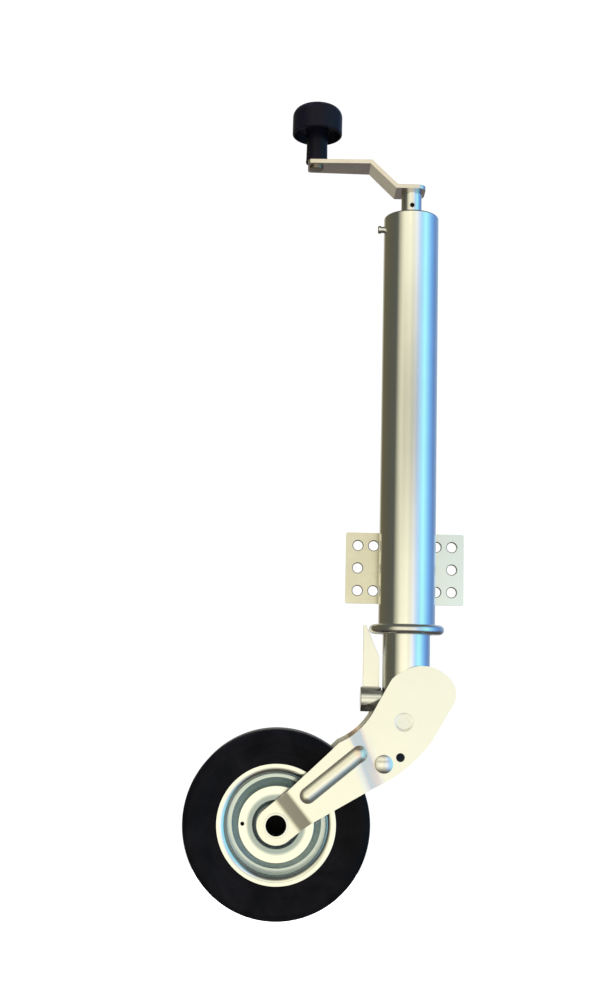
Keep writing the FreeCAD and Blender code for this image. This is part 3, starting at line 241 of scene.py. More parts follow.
def smooth(piece: Piece, angle: float = 30, weighted: bool = True) -> None:
    """Shade a piece smooth up to an angle, with normals led by its large faces.

    Args:
        piece: the piece.
        angle: edges that turn by more than this, in degrees, stay sharp.
        weighted: whether large faces lead the normals.
    """
    pick(piece)
    bpy.ops.object.shade_smooth_by_angle(angle=math.radians(angle))
    if weighted:
        bpy.ops.object.modifier_add(type="WEIGHTED_NORMAL")
        weigh = piece.modifiers[-1]
        weigh.keep_sharp = True
        bpy.ops.object.modifier_apply(modifier=weigh.name)


# ---------------------------------------------------------------- finishes

class Slot(Enum):
    """The record's finishes, and the painted shade in the bores."""

    ZINC_TUBE = "zinc_tube"
    ZINC_TURNED = "zinc_turned"
    ZINC_PLATE = "zinc_plate"
    ZINC_SHEET = "zinc_sheet"
    ZINC_ARM = "zinc_arm"
    RIM_ZINC = "rim_zinc"
    WELD_METAL = "weld_metal"
    BEARING_STEEL = "bearing_steel"
    SPINDLE_STEEL = "spindle_steel"
    SPRING_STEEL = "spring_steel"
    NUT_BRASS = "nut_brass"
    GUIDE_PLASTIC = "guide_plastic"
    KNOB_PLASTIC = "knob_plastic"
    TYRE_RUBBER = "tyre_rubber"
    OLD_GREASE = "old_grease"


class Grain(Enum):
    """The direction that a surface's fine lines run in, as the stretch of its pattern."""

    UPRIGHT = (1.0, 1.0, 0.02)
    SIDEWAYS = (0.03, 1.0, 1.0)
    EVEN = (1.0, 1.0, 1.0)


@dataclass
class NodeBench:
    """Adds and joins nodes in one node tree."""

    tree: bpy.types.NodeTree

    def add(self, kind: str, **settings: object) -> Node:
        """Add a node.

        Args:
            kind: the node's class name.
            settings: its properties; a value named in_N is set on input socket N.

        Returns:
            The node.
        """
        node = self.tree.nodes.new(kind)
        for key, value in settings.items():
            if key.startswith("in_"):
                node.inputs[int(key[3:])].default_value = value
            else:
                setattr(node, key, value)
        return node

    def join(self, source: Socket, target: Socket) -> None:
        """Link an output to an input.

        Args:
            source: the output.
            target: the input.
        """
        self.tree.links.new(source, target)

    def multiply(self, one: Socket, other: Socket) -> Socket:
        """Multiply two colours.

        Args:
            one: a colour.
            other: another.

        Returns:
            Their product.
        """
        node = self.add("ShaderNodeMix", data_type="RGBA", blend_type="MULTIPLY", in_0=1.0)
        self.join(one, node.inputs[6])
        self.join(other, node.inputs[7])
        return node.outputs[2]

    def noise(self, place: Socket, scale: Socket, low: float, high: float,
              **settings: object) -> Socket:
        """Add a noise and stretch its range low..high to 0..1.

        Args:
            place: the coordinates.
            scale: the scale.
            low: noise that gives 0.
            high: noise that gives 1.
            settings: the node's own values.

        Returns:
            The stretched noise.
        """
        node = self.add("ShaderNodeTexNoise", **settings)
        self.join(place, node.inputs[0])
        self.join(scale, node.inputs[2])
        return self.spread(node.outputs[0], 0, 1, low, high)

    def spread(self, source: Socket, low: float, high: float, start: float = 0, end: float = 1,
               kind: str = "LINEAR") -> Socket:
        """Map a value from start..end to low..high, held at both ends.

        Args:
            source: the value.
            low: result at start.
            high: result at end.
            start: value that gives low.
            end: value that gives high.
            kind: LINEAR or SMOOTHSTEP.

        Returns:
            The mapped value.
        """
        node = self.add("ShaderNodeMapRange", in_1=start, in_2=end, in_3=low, in_4=high,
                        interpolation_type=kind)
        self.join(source, node.inputs[0])
        return node.outputs[0]

    def blend(self, mask: Socket, below: object, above: object) -> Socket:
        """Mix two colours by a mask.

        Args:
            mask: 0 gives the colour below, 1 the one above.
            below: a colour or an output socket.
            above: a colour or an output socket.

        Returns:
            The mixed colour.
        """
        node = self.add("ShaderNodeMix", data_type="RGBA")
        self.join(mask, node.inputs[0])
        for socket, colour in ((node.inputs[6], below), (node.inputs[7], above)):
            if isinstance(colour, Socket):
                self.join(colour, socket)
            else:
                socket.default_value = (*colour, 1)
        return node.outputs[2]

    def ramp(self, share: Socket, stops: Sequence[tuple[float, Colour]]) -> Socket:
        """Look a value up in a row of colours.

        Args:
            share: the value, from 0 to 1.
            stops: (place, colour) in order.

        Returns:
            The colour found.
        """
        node = self.add("ShaderNodeValToRGB")
        marks = node.color_ramp.elements
        marks.remove(marks[-1])
        for number, (place, colour) in enumerate(stops):
            mark = marks.new(place) if number else marks[0]
            mark.position = place
            mark.color = (*colour, 1)
        self.join(share, node.inputs[0])
        return node.outputs[0]


def new_group(name: str, inputs: dict[str, tuple[str, object]], outputs: Sequence[str]
              ) -> tuple[NodeBench, Node, Node]:
    """Start a shader node group.

    Args:
        name: the group's name.
        inputs: name to (socket kind, default value).
        outputs: names of the value outputs.

    Returns:
        A bench for its nodes, its input node and its output node.
    """
    group = bpy.data.node_groups.new(name, "ShaderNodeTree")
    for label, (kind, default) in inputs.items():
        socket = group.interface.new_socket(label, in_out="INPUT", socket_type=kind)
        socket.default_value = default
    for label in outputs:
        group.interface.new_socket(label, in_out="OUTPUT", socket_type="NodeSocketFloat")
    bench = NodeBench(group)
    return bench, bench.add("NodeGroupInput"), bench.add("NodeGroupOutput")


def metal_surface_group() -> None:
    """Build the pattern of a plated surface: fine lines, soft clouds and small marks.

    Lines, Clouds and Marks run from 0 to 1. Height may pass 1.
    """
    bench, given, result = new_group("plated_surface", {
        "Vector": ("NodeSocketVector", (0, 0, 0)),
        "Stretch": ("NodeSocketVector", (1, 1, 1)),
        "Line Scale": ("NodeSocketFloat", 900.0),
        "Cloud Scale": ("NodeSocketFloat", 20.0),
        "Mark Scale": ("NodeSocketFloat", 260.0),
        "Mark Share": ("NodeSocketFloat", 0.3),
    }, ("Lines", "Clouds", "Marks", "Height"))
    stretch = bench.add("ShaderNodeVectorMath", operation="MULTIPLY")
    bench.join(given.outputs["Vector"], stretch.inputs[0])
    bench.join(given.outputs["Stretch"], stretch.inputs[1])
    lines_out = bench.noise(stretch.outputs[0], given.outputs["Line Scale"], 0.25, 0.75,
                            in_3=5.0, in_4=0.6)
    clouds_out = bench.noise(given.outputs["Vector"], given.outputs["Cloud Scale"], 0.3, 0.7,
                             in_3=4.0, in_4=0.55, in_8=0.5)
    speck_mask = bench.noise(given.outputs["Vector"], given.outputs["Mark Scale"], 0.66, 0.78,
                             in_3=3.0, in_4=0.7, in_8=1.2)
    patches = bench.add("ShaderNodeTexNoise", in_2=34.0, in_3=2.0)
    bench.join(given.outputs["Vector"], patches.inputs[0])
    patch_mask = bench.spread(patches.outputs[0], 0, 1, 0.52, 0.68)
    both = bench.add("ShaderNodeMath", operation="MULTIPLY")
    bench.join(speck_mask, both.inputs[0])
    bench.join(patch_mask, both.inputs[1])
    share = bench.add("ShaderNodeMath", operation="MULTIPLY")
    bench.join(both.outputs[0], share.inputs[0])
    bench.join(given.outputs["Mark Share"], share.inputs[1])

    height = bench.add("ShaderNodeMath", operation="MULTIPLY_ADD", in_1=0.25)
    bench.join(clouds_out, height.inputs[0])
    bench.join(lines_out, height.inputs[2])
    for socket, label in ((lines_out, "Lines"), (clouds_out, "Clouds"),
                          (share.outputs[0], "Marks"), (height.outputs[0], "Height")):
        bench.join(socket, result.inputs[label])


def moulded_surface_group() -> None:
    """Build the pattern of moulded rubber or plastic: fine grain and a dusty bloom.

    Grain and Bloom run from 0 to 1. Height may pass 1.
    """
    bench, given, result = new_group("moulded_surface", {
        "Vector": ("NodeSocketVector", (0, 0, 0)),
        "Grain Scale": ("NodeSocketFloat", 1800.0),
        "Bloom Scale": ("NodeSocketFloat", 30.0),
    }, ("Grain", "Bloom", "Height"))
    grain_out = bench.noise(given.outputs["Vector"], given.outputs["Grain Scale"], 0.3, 0.7,
                            in_3=4.0, in_4=0.6)
    bloom_out = bench.noise(given.outputs["Vector"], given.outputs["Bloom Scale"], 0.4, 0.75,
                            in_3=6.0, in_4=0.62, in_8=0.8)
    pits = bench.add("ShaderNodeTexVoronoi")
    bench.join(given.outputs["Vector"], pits.inputs[0])
    bench.join(given.outputs["Grain Scale"], pits.inputs[2])
    height = bench.add("ShaderNodeMath", operation="MULTIPLY_ADD", in_1=0.6)
    bench.join(pits.outputs[0], height.inputs[0])
    bench.join(grain_out, height.inputs[2])
    for socket, label in ((grain_out, "Grain"), (bloom_out, "Bloom"),
                          (height.outputs[0], "Height")):
        bench.join(socket, result.inputs[label])


def new_material(name: str) -> tuple[Material, NodeBench, Node]:
    """Start a material with its Principled shader.

    Args:
        name: the material's name.

    Returns:
        The material, a bench for its nodes and the shader node.
    """
    material = bpy.data.materials.new(name)
    material.use_nodes = True
    bench = NodeBench(material.node_tree)
    return material, bench, material.node_tree.nodes["Principled BSDF"]


def place_surface(bench: NodeBench, shader: Node, group: str, relief: float,
                  values: dict[str, object]) -> tuple[Socket, Node]:
    """Place a surface group in a material and let its height raise the surface.

    Args:
        bench: the material's bench.
        shader: its shader.
        group: the group's name.
        relief: how high the pattern stands, in millimetres.
        values: the group's inputs.

    Returns:
        The object's coordinates and the group node.
    """
    place = bench.add("ShaderNodeTexCoord").outputs["Object"]
    surface = bench.add("ShaderNodeGroup")
    surface.node_tree = bpy.data.node_groups[group]
    bench.join(place, surface.inputs["Vector"])
    for label, value in values.items():
        surface.inputs[label].default_value = value
    bump = bench.add("ShaderNodeBump", in_0=0.5, in_1=relief * MM)
    bench.join(surface.outputs["Height"], bump.inputs["Height"])
    bench.join(bump.outputs[0], shader.inputs["Normal"])
    return place, surface


@dataclass(frozen=True)
class PaintedTint:
    """A tint of painted light laid over a finish with distance from a plane, in metres.

    The plane stands square to a direction, at a level along it.
    """

    square: tuple[float, float, float]
    level: float
    start: float
    full: float
    tint: Colour

    def over(self, bench: NodeBench, place: Socket, base: Socket) -> Socket:
        """Lay the tint over a colour.

        Args:
            bench: the material's bench.
            place: the object's coordinates.
            base: the colour.

        Returns:
            The colour with the tint over it.
        """
        across = bench.add("ShaderNodeVectorMath", operation="DOT_PRODUCT", in_1=self.square)
        bench.join(place, across.inputs[0])
        away = bench.add("ShaderNodeMath", operation="SUBTRACT", in_1=self.level)
        bench.join(across.outputs["Value"], away.inputs[0])
        distance = bench.add("ShaderNodeMath", operation="ABSOLUTE")
        bench.join(away.outputs[0], distance.inputs[0])
        along = bench.spread(distance.outputs[0], 0, 1, self.start, self.full, "SMOOTHSTEP")
        return bench.blend(along, base, self.tint)


@dataclass(frozen=True)
class ShadeDisc:
    """A dark disc of painted shade with a soft rim, in metres."""

    centre: tuple[float, float, float]
    radius: float
    tint: Colour = (0.02, 0.025, 0.04)
    rim: float = 0.7

    def over(self, bench: NodeBench, place: Socket, base: Socket) -> Socket:
        """Lay the painted shade over a colour.

        Args:
            bench: the material's bench.
            place: the object's coordinates.
            base: the colour.

        Returns:
            The colour with the painted shade over it.
        """
        reach = bench.add("ShaderNodeVectorMath", operation="DISTANCE", in_1=self.centre)
        bench.join(place, reach.inputs[0])
        near = bench.spread(reach.outputs["Value"], 1, 0, self.radius * self.rim, self.radius)
        return bench.blend(near, base, self.tint)


@dataclass(frozen=True)
class PlatedFinish:
    """Steel under bright zinc, or another bare metal.

    The pale and deep colours alternate in soft clouds, lines run along the grain, and small dull
    marks lie in patches. Over them come painted light and shade: a tint by distance from a plane,
    rings of painted shade round the wheel's axle, each a radius in millimetres with its tint, and a
    dark disc of painted shade.
    """

    slot: Slot
    pale: Colour
    deep: Colour
    roughness: float
    swing: float = 0.06
    grain: Grain = Grain.EVEN
    line_scale: float = 900.0
    cloud_scale: float = 22.0
    mark_scale: float = 260.0
    mark_share: float = 0.4
    mark_colour: Colour = (0.16, 0.13, 0.1)
    relief: float = 0.004
    painted_tint: PaintedTint | None = None
    shade_disc: ShadeDisc | None = None
    rings: Sequence[tuple[float, Colour]] = ()

    def material(self) -> Material:
        """Build the finish's material.

        Returns:
            The material, named after its slot.
        """
        material, bench, shader = new_material(self.slot.value)
        place, surface = place_surface(bench, shader, "plated_surface", self.relief, {
            "Stretch": self.grain.value, "Line Scale": self.line_scale,
            "Cloud Scale": self.cloud_scale, "Mark Scale": self.mark_scale,
            "Mark Share": self.mark_share})
        base = bench.blend(surface.outputs["Clouds"], self.deep, self.pale)
        # Painted light over the base: the tint by a plane, the rings of painted shade and the dark
        # disc of painted shade.
        if self.painted_tint:
            base = self.painted_tint.over(bench, place, base)
        if self.rings:
            base = self.ring_shade(bench, place, base)
        if self.shade_disc:
            base = self.shade_disc.over(bench, place, base)
        colour = bench.blend(surface.outputs["Marks"], base, self.mark_colour)
        bench.join(colour, shader.inputs["Base Color"])
        rough = bench.spread(surface.outputs["Lines"], self.roughness - self.swing,
                             self.roughness + self.swing)
        bench.join(rough, shader.inputs["Roughness"])
        shader.inputs["Metallic"].default_value = 1.0
        return material

    def ring_shade(self, bench: NodeBench, place: Socket, base: Socket) -> Socket:
        """Darken a colour in rings round the wheel's axle, as painted shade in the rim's recesses.

        Args:
            bench: the material's bench.
            place: the object's coordinates.
            base: the colour.

        Returns:
            The tinted colour.
        """
        flat = bench.add("ShaderNodeVectorMath", operation="MULTIPLY", in_1=(1, 0, 1))
        bench.join(place, flat.inputs[0])
        reach = bench.add("ShaderNodeVectorMath", operation="DISTANCE",
                          in_1=(AXLE.x * MM, 0, AXLE.z * MM))
        bench.join(flat.outputs[0], reach.inputs[0])
        share = bench.spread(reach.outputs["Value"], 0, 1, 0, RING_SPAN * MM)
        ring_shades = bench.ramp(share, [(radius / RING_SPAN, tint) for radius, tint in self.rings])
        return bench.multiply(base, ring_shades)


@dataclass(frozen=True)
class MouldedFinish:
    """Rubber or plastic with moulded grain and a faint dusty bloom."""

    slot: Slot
    colour: Colour
    bloom: Colour
    bloom_share: float
    roughness: float
    grain_scale: float = 1800.0
    bloom_scale: float = 30.0
    relief: float = 0.05
    gloss: float = 0.12
    smoother: float = 0.05
    rougher: float = 0.08

    def material(self) -> Material:
        """Build the finish's material.

        Returns:
            The material, named after its slot.
        """
        material, bench, shader = new_material(self.slot.value)
        _, surface = place_surface(bench, shader, "moulded_surface", self.relief, {
            "Grain Scale": self.grain_scale, "Bloom Scale": self.bloom_scale})
        share = bench.spread(surface.outputs["Bloom"], 0, self.bloom_share)
        bench.join(bench.blend(share, self.colour, self.bloom), shader.inputs["Base Color"])
        rough = bench.spread(surface.outputs["Grain"], self.roughness - self.smoother,
                             self.roughness + self.rougher)
        bench.join(rough, shader.inputs["Roughness"])
        shader.inputs["Specular IOR Level"].default_value = self.gloss
        return material


FINISHES = (
    PlatedFinish(Slot.ZINC_TUBE, (0.9, 0.9, 0.89), (0.83, 0.84, 0.84), 0.14, 0.03, Grain.UPRIGHT,
                 1400.0, 14.0, 240.0, 0.5, (0.42, 0.41, 0.36)),
    PlatedFinish(Slot.ZINC_TURNED, (0.84, 0.85, 0.86), (0.76, 0.77, 0.78), 0.18, 0.04,
                 mark_share=0.3),
    # Painted reflection: the plate turns bluish towards its right, where the blue surroundings
    # would show in it.
    PlatedFinish(Slot.ZINC_PLATE, (0.84, 0.81, 0.71), (0.74, 0.71, 0.61), 0.24, 0.05,
                 Grain.SIDEWAYS, 800.0, 30.0,
                 painted_tint=PaintedTint((1, 0, 0), -1.0, 0.97, 1.06, (0.8, 0.9, 1.0))),
    # Painted shade: a warmer, darker band along the middle of the cheeks' joggle bend, and a dark
    # bluish disc of painted shade at the cheeks' small hole.
    PlatedFinish(Slot.ZINC_SHEET, (0.97, 0.96, 0.91), (0.94, 0.93, 0.88), 0.31, 0.04, Grain.EVEN,
                 1200.0, 26.0, 300.0, 0.3, (0.5, 0.48, 0.42),
                 painted_tint=PaintedTint((0.926, 0, 0.377), -0.1146, 0.011, 0.003, (1.0, 0.8, 0.68)),
                 shade_disc=ShadeDisc((-0.0024, -0.013, -0.2009), 0.009)),
    PlatedFinish(Slot.ZINC_ARM, (0.84, 0.78, 0.75), (0.74, 0.67, 0.63), 0.26, 0.05,
                 Grain.SIDEWAYS, relief=0.002),
    # Painted shade: the rings darken the rim round the hub and in its well, and leave the raised
    # disc between them bright.
    PlatedFinish(Slot.RIM_ZINC, (0.94, 0.95, 0.92), (0.86, 0.88, 0.86), 0.2, 0.05, Grain.EVEN,
                 1100.0, 40.0, 200.0, 0.5, (0.5, 0.36, 0.32),
                 rings=((22, (0.38, 0.43, 0.48)), (28.5, (0.42, 0.48, 0.53)), (31.5, (1, 1, 1)),
                        (41, (0.98, 0.98, 0.98)), (44.5, (0.68, 0.74, 0.79)),
                        (53, (0.54, 0.6, 0.66)), (55.5, (1, 1, 1)))),
    PlatedFinish(Slot.WELD_METAL, (0.62, 0.62, 0.6), (0.42, 0.42, 0.4), 0.4, 0.1, relief=0.03),
    PlatedFinish(Slot.BEARING_STEEL, (0.6, 0.6, 0.62), (0.5, 0.5, 0.52), 0.22),
    PlatedFinish(Slot.SPINDLE_STEEL, (0.46, 0.43, 0.38), (0.3, 0.27, 0.22), 0.3,
                 grain=Grain.SIDEWAYS),
    PlatedFinish(Slot.SPRING_STEEL, (0.42, 0.42, 0.44), (0.3, 0.3, 0.32), 0.28),
    PlatedFinish(Slot.NUT_BRASS, (0.72, 0.55, 0.28), (0.6, 0.44, 0.2), 0.28),
    MouldedFinish(Slot.GUIDE_PLASTIC, (0.06, 0.065, 0.07), (0.16, 0.16, 0.16), 0.3, 0.42,
                  gloss=0.4),
    MouldedFinish(Slot.KNOB_PLASTIC, (0.003, 0.0025, 0.006), (0.012, 0.011, 0.018), 0.3, 0.34,
                  2600.0, 45.0, 0.03, 0.13),
    MouldedFinish(Slot.TYRE_RUBBER, (0.002, 0.002, 0.003), (0.011, 0.01, 0.013), 0.4, 0.42,
                  1500.0, 24.0, 0.05, 0.05),
    # Painted shade: a near-black finish laid in bores where shade falls.
    MouldedFinish(Slot.OLD_GREASE, (0.003, 0.003, 0.003), (0.01, 0.009, 0.008), 0.5, 0.5,
                  900.0, 60.0, 0.08, 0.05),
)


def build_finishes() -> dict[Slot, Material]:
    """Build the node groups and every finish.

    Returns:
        Slot to material.
    """
    metal_surface_group()
    moulded_surface_group()
    return {finish.slot: finish.material() for finish in FINISHES}


# ---------------------------------------------------------------- sub-assemblies

@dataclass
class SubAssembly:
    """Pieces that ride on one body."""

    materials: dict[Slot, Material]
    body: str = "root"

    def fit(self, piece: Piece, slot: Slot, *nodes: str) -> Piece:
        """Dress a piece, set it on its body and let it stand for its solids.

        Args:
            piece: the finished mesh.
            slot: its finish.
            nodes: the solids that it replaces.

        Returns:
            The piece.
        """
        piece.data.materials.clear()
        piece.data.materials.append(self.materials[slot])
        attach(piece, self.body)
        if nodes:
            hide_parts(*nodes)
        log.info("%s on %s, %d faces", piece.name, self.body, len(piece.data.polygons))
        return piece

    def keep(self, slot: Slot, *nodes: str) -> None:
        """Give solids that stay as they are their finish.

        Args:
            slot: the finish.
            nodes: names of the solids.
        """
        for node in nodes:
            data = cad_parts[node].data
            data.materials.clear()
            data.materials.append(self.materials[slot])

    def refinish_near_axis(self, piece: Piece, slot: Slot, centre: Vector, axis: Vector,
              radius: float, reach: float) -> None:
        """Give the faces near a point of an axis another finish, such as painted shade in a bore.

        Args:
            piece: the piece, already dressed.
            slot: the other finish.
            centre: the point, in millimetres.
            axis: the axis.
            radius: how far from the axis the finish goes, in millimetres.
            reach: how far from the point it goes along the axis each way, in millimetres.
        """
        with editing(piece, "FACE"):
            for side in (-1, 1):
                bpy.ops.mesh.select_all(action="SELECT")
                bpy.ops.mesh.bisect(plane_co=tuple((centre + axis * side * reach) * MM),
                                    plane_no=tuple(axis))
        piece.data.materials.append(self.materials[slot])
        for face in piece.data.polygons:
            arm = face.center / MM - centre
            along = arm.dot(axis)
            if (arm - axis * along).length < radius and abs(along) < reach:
                face.material_index = 1

    def edged(self, node: str, slot: Slot, width: float, angle: float = 30) -> Piece:
        """Replace a solid by its merged copy with softened edges.

        Args:
            node: the solid.
            slot: its finish.
            width: rounding of the edges in millimetres, or 0 to leave them as they are.
            angle: edges that turn by more than this, in degrees, are rounded.

        Returns:
            The new piece.
        """
        piece = copied(node, node + "_dressed")
        if width:
            soften(piece, width, angle)
        smooth(piece, 30)
        return self.fit(piece, slot, node)


@dataclass
class OuterTube(SubAssembly):
    """The tube that is bolted to the vehicle, with its plate, ring, cap and nipple.

    The plate's holes stand in two columns on each side, in rows at the middle and a row's height
    above and below it. The welds ripple where they lie in front and to the side of ripple_from.
    """

    outer: float = 30.0
    bore: float = 27.0
    top: float = 384.0
    foot: float = -71.6
    edge: float = 2.4
    bore_chamfer: float = 0.4
    foot_chamfer: float = 0.5
    ring_outer: float = 39.5
    ring_height: float = 10.4
    hole: float = 5.25
    hole_roll: float = 0.9
    hole_slack: float = 0.05
    outer_column: float = 51.0
    inner_column: float = 34.0
    row: float = 24.5
    weld_half: int = 32
    ripple: float = 0.35
    ripple_pitch: float = 4.2
    ripple_from: tuple[float, float] = (8.0, -7.0)

    @property
    def hole_places(self) -> list[tuple[float, float]]:
        """The plate's holes.

        Returns:
            Their places across and up, in millimetres.
        """
        column = [(self.outer_column, level) for level in (-self.row, 0, self.row)]
        column += [(self.inner_column, level) for level in (-self.row, self.row)]
        return [(side * across, level) for side in (-1, 1) for across, level in column]

    def build(self) -> None:
        """Model and dress the fixed pieces."""
        self.build_tube()
        self.build_ring()
        self.build_plate()
        self.build_welds()
        self.edged("top_cap", Slot.ZINC_TURNED, 0.4)
        self.edged("grease_nipple", Slot.ZINC_TURNED, 0.3)
        self.keep(Slot.BEARING_STEEL, "thrust_bearing", "guide_key")
        self.keep(Slot.GUIDE_PLASTIC, "lower_bush")

    def build_tube(self) -> None:
        """Turn the tube with its rounded top edge and a small chamfer at the foot."""
        profile = [(self.bore, self.foot + self.bore_chamfer),
                   (self.bore + self.bore_chamfer, self.foot),
                   (self.outer - self.foot_chamfer, self.foot),
                   (self.outer, self.foot + self.foot_chamfer)]
        profile += rounded((self.outer - self.edge, self.top - self.edge), 0, 90, self.edge, 8)
        profile += [(self.bore, self.top)]
        tube = turned("outer_tube_skin", profile, TUBE_AXIS, AXIS_Z, 192)
        smooth(tube, 35)
        self.fit(tube, Slot.ZINC_TUBE, "outer_tube")

    def build_ring(self) -> None:
        """Turn the bull-nosed release ring."""
        half = self.ring_height / 2
        middle = (self.ring_outer - half, self.foot + half)
        profile = [(self.outer, self.foot), *rounded(middle, -90, 90, half, 14),
                   (self.outer, self.foot + self.ring_height)]
        ring = turned("release_ring_skin", profile, TUBE_AXIS, AXIS_Z, 160)
        smooth(ring, 35)
        self.fit(ring, Slot.ZINC_TURNED, "release_ring")

    def build_plate(self) -> None:
        """Dress the plate, with the rolled edges that the punch leaves round its holes, and painted
        shade on their walls.
        """
        holes = self.hole_places
        plate = copied("mounting_plate", "mounting_plate_dressed")
        with editing(plate, "EDGE") as mesh:
            bpy.ops.mesh.select_all(action="DESELECT")
            for edge in mesh.edges:
                ends = [point.co / MM for point in edge.verts]
                flat = abs(ends[0].y - ends[1].y) < self.hole_slack
                edge.select = flat and any(
                    all(abs(math.hypot(end.x - x, end.z - z) - self.hole) < self.hole_slack
                        for end in ends) for x, z in holes)
            bmesh.update_edit_mesh(plate.data)
            bpy.ops.mesh.bevel(offset=self.hole_roll * MM, segments=3, profile=0.5,
                               affect="EDGES")
        soften(plate, 0.5, 60)
        smooth(plate, 30)
        self.fit(plate, Slot.ZINC_PLATE, "mounting_plate")
        # Painted shade: the hole walls and rolled edges take the darker spindle steel.
        plate.data.materials.append(self.materials[Slot.SPINDLE_STEEL])
        for face in plate.data.polygons:
            if any(math.hypot(face.center.x / MM - x, face.center.z / MM - z)
                   < self.hole + self.hole_roll for x, z in holes):
                face.material_index = 1

    def build_welds(self) -> None:
        """Ripple the two weld beads as a welder's hand leaves them."""
        beads = copied("weld_beads", "weld_beads_rippled")
        with editing(beads, "FACE"):
            for level in range(-self.weld_half, self.weld_half + 1):
                bpy.ops.mesh.select_all(action="SELECT")
                bpy.ops.mesh.bisect(plane_co=(0, 0, level * MM), plane_no=(0, 0, 1))
        aside, ahead = self.ripple_from
        for point in beads.data.vertices:
            wave = self.ripple * MM * math.sin(point.co.z / MM * math.tau / self.ripple_pitch)
            if point.co.y < ahead * MM and abs(point.co.x) > aside * MM:
                point.co.x += math.copysign(1, point.co.x) * wave
                point.co.y -= wave
        smooth(beads, 60)
        self.fit(beads, Slot.WELD_METAL, "weld_beads")


@dataclass
class Crank(SubAssembly):
    """The spindle, the hub, the cranked arm and the knob's pin.

    The roll pin's bore and the pin's lower head each have a radius and a reach along their axis.
    """

    body: str = "crank"
    pin_level: float = 395.6
    pin_bore: tuple[float, float] = (2.5, 11.0)
    rivet_head: tuple[float, float] = (12.0, 3.0)

    def build(self) -> None:
        """Model and dress the crank."""
        self.edged("crank_hub", Slot.ZINC_TURNED, 0.5)
        pin = self.edged("roll_pin", Slot.BEARING_STEEL, 0.2)
        middle = TUBE_AXIS + AXIS_Z * self.pin_level
        # Painted shade: the inside of the roll pin's bore takes a near-black finish.
        self.refinish_near_axis(pin, Slot.OLD_GREASE, middle, AXIS_Y, *self.pin_bore)
        self.edged("crank_arm", Slot.ZINC_ARM, 0.7)
        rivet = self.edged("knob_pin", Slot.ZINC_TURNED, 0.3)
        foot = KNOB_AXIS + AXIS_Z * (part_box("knob_pin")[0][2] / MM)
        self.refinish_near_axis(rivet, Slot.SPINDLE_STEEL, foot, AXIS_Z, *self.rivet_head)
        self.keep(Slot.SPINDLE_STEEL, "spindle")


@dataclass
class Knob(SubAssembly):
    """The moulded knob, turned with soft corners.

    The head is hollow below, round the neck. Soft is the size of small chamfers, fillet that of
    the corner between neck and head, and lip the radius of the head's lower edge.
    """

    body: str = "knob"
    low: float = 444.9
    height: float = 63.7
    head: float = 27.5
    head_height: float = 31.5
    crown: float = 11.0
    neck: float = 11.3
    foot: float = 12.0
    foot_height: float = 4.0
    hollow: float = 7.0
    bore: float = 5.05
    wall: float = 3.5
    roof: float = 6.0
    soft: float = 0.8
    fillet: float = 1.6
    lip: float = 1.6

    def build(self) -> None:
        """Turn the knob."""
        top = self.low + self.height
        shoulder = top - self.head_height
        ceiling = shoulder + self.hollow
        inside = self.head - self.wall
        profile = [(self.bore, self.low), (self.foot - self.soft, self.low),
                   (self.foot, self.low + self.soft),
                   (self.foot, self.low + self.foot_height - self.soft),
                   (self.foot - 0.25, self.low + self.foot_height),
                   (self.neck, shoulder), (self.neck + 0.7, ceiling - 0.9),
                   (self.neck + self.fillet, ceiling), (inside - self.soft, ceiling),
                   (inside, ceiling - self.soft), (inside + self.wall / 2 - 0.2, shoulder + 0.5),
                   *rounded((self.head - self.wall / 2 + 0.15, shoulder + self.lip), -110, 0,
                            self.lip, 8),
                   *rounded((self.head - self.crown, top - self.crown), 0, 90, self.crown, 16),
                   (0, top), (0, top - self.roof), (self.bore, top - self.roof)]
        knob = turned("knob_moulded", profile, KNOB_AXIS, AXIS_Z, 128)
        smooth(knob, 40)
        self.fit(knob, Slot.KNOB_PLASTIC, "knob")


@dataclass
class Slider(SubAssembly):
    """The inner tube that runs up and down in the outer one."""

    body: str = "slider"

    def build(self) -> None:
        """Dress the inner tube and what is fixed to it."""
        self.edged("inner_tube", Slot.ZINC_TUBE, 0)
        self.edged("bolt_guide", Slot.ZINC_TURNED, 0.3)
        self.keep(Slot.BEARING_STEEL, "nut_pins", "pivot_sleeve")
        self.keep(Slot.NUT_BRASS, "spindle_nut")
        self.keep(Slot.GUIDE_PLASTIC, "guide_ring")


@dataclass
class Lock(SubAssembly):
    """The bolt, its barrel, its spring and the wedge that the ring pushes."""

    body: str = "lock"
    travel: float = 14.5

    def build(self) -> None:
        """Dress the lock."""
        self.edged("bolt_barrel", Slot.ZINC_TURNED, 0.4)
        self.edged("release_wedge", Slot.ZINC_SHEET, 0.5)
        self.keep(Slot.BEARING_STEEL, "lock_bolt")
        self.build_spring()

    def build_spring(self) -> None:
        """Dress the spring and give it a mesh of its own."""
        spring = copied("lock_spring", "lock_spring_wound", whole=False)
        smooth(spring, 60, weighted=False)
        self.fit(spring, Slot.SPRING_STEEL, "lock_spring")
        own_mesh(spring)


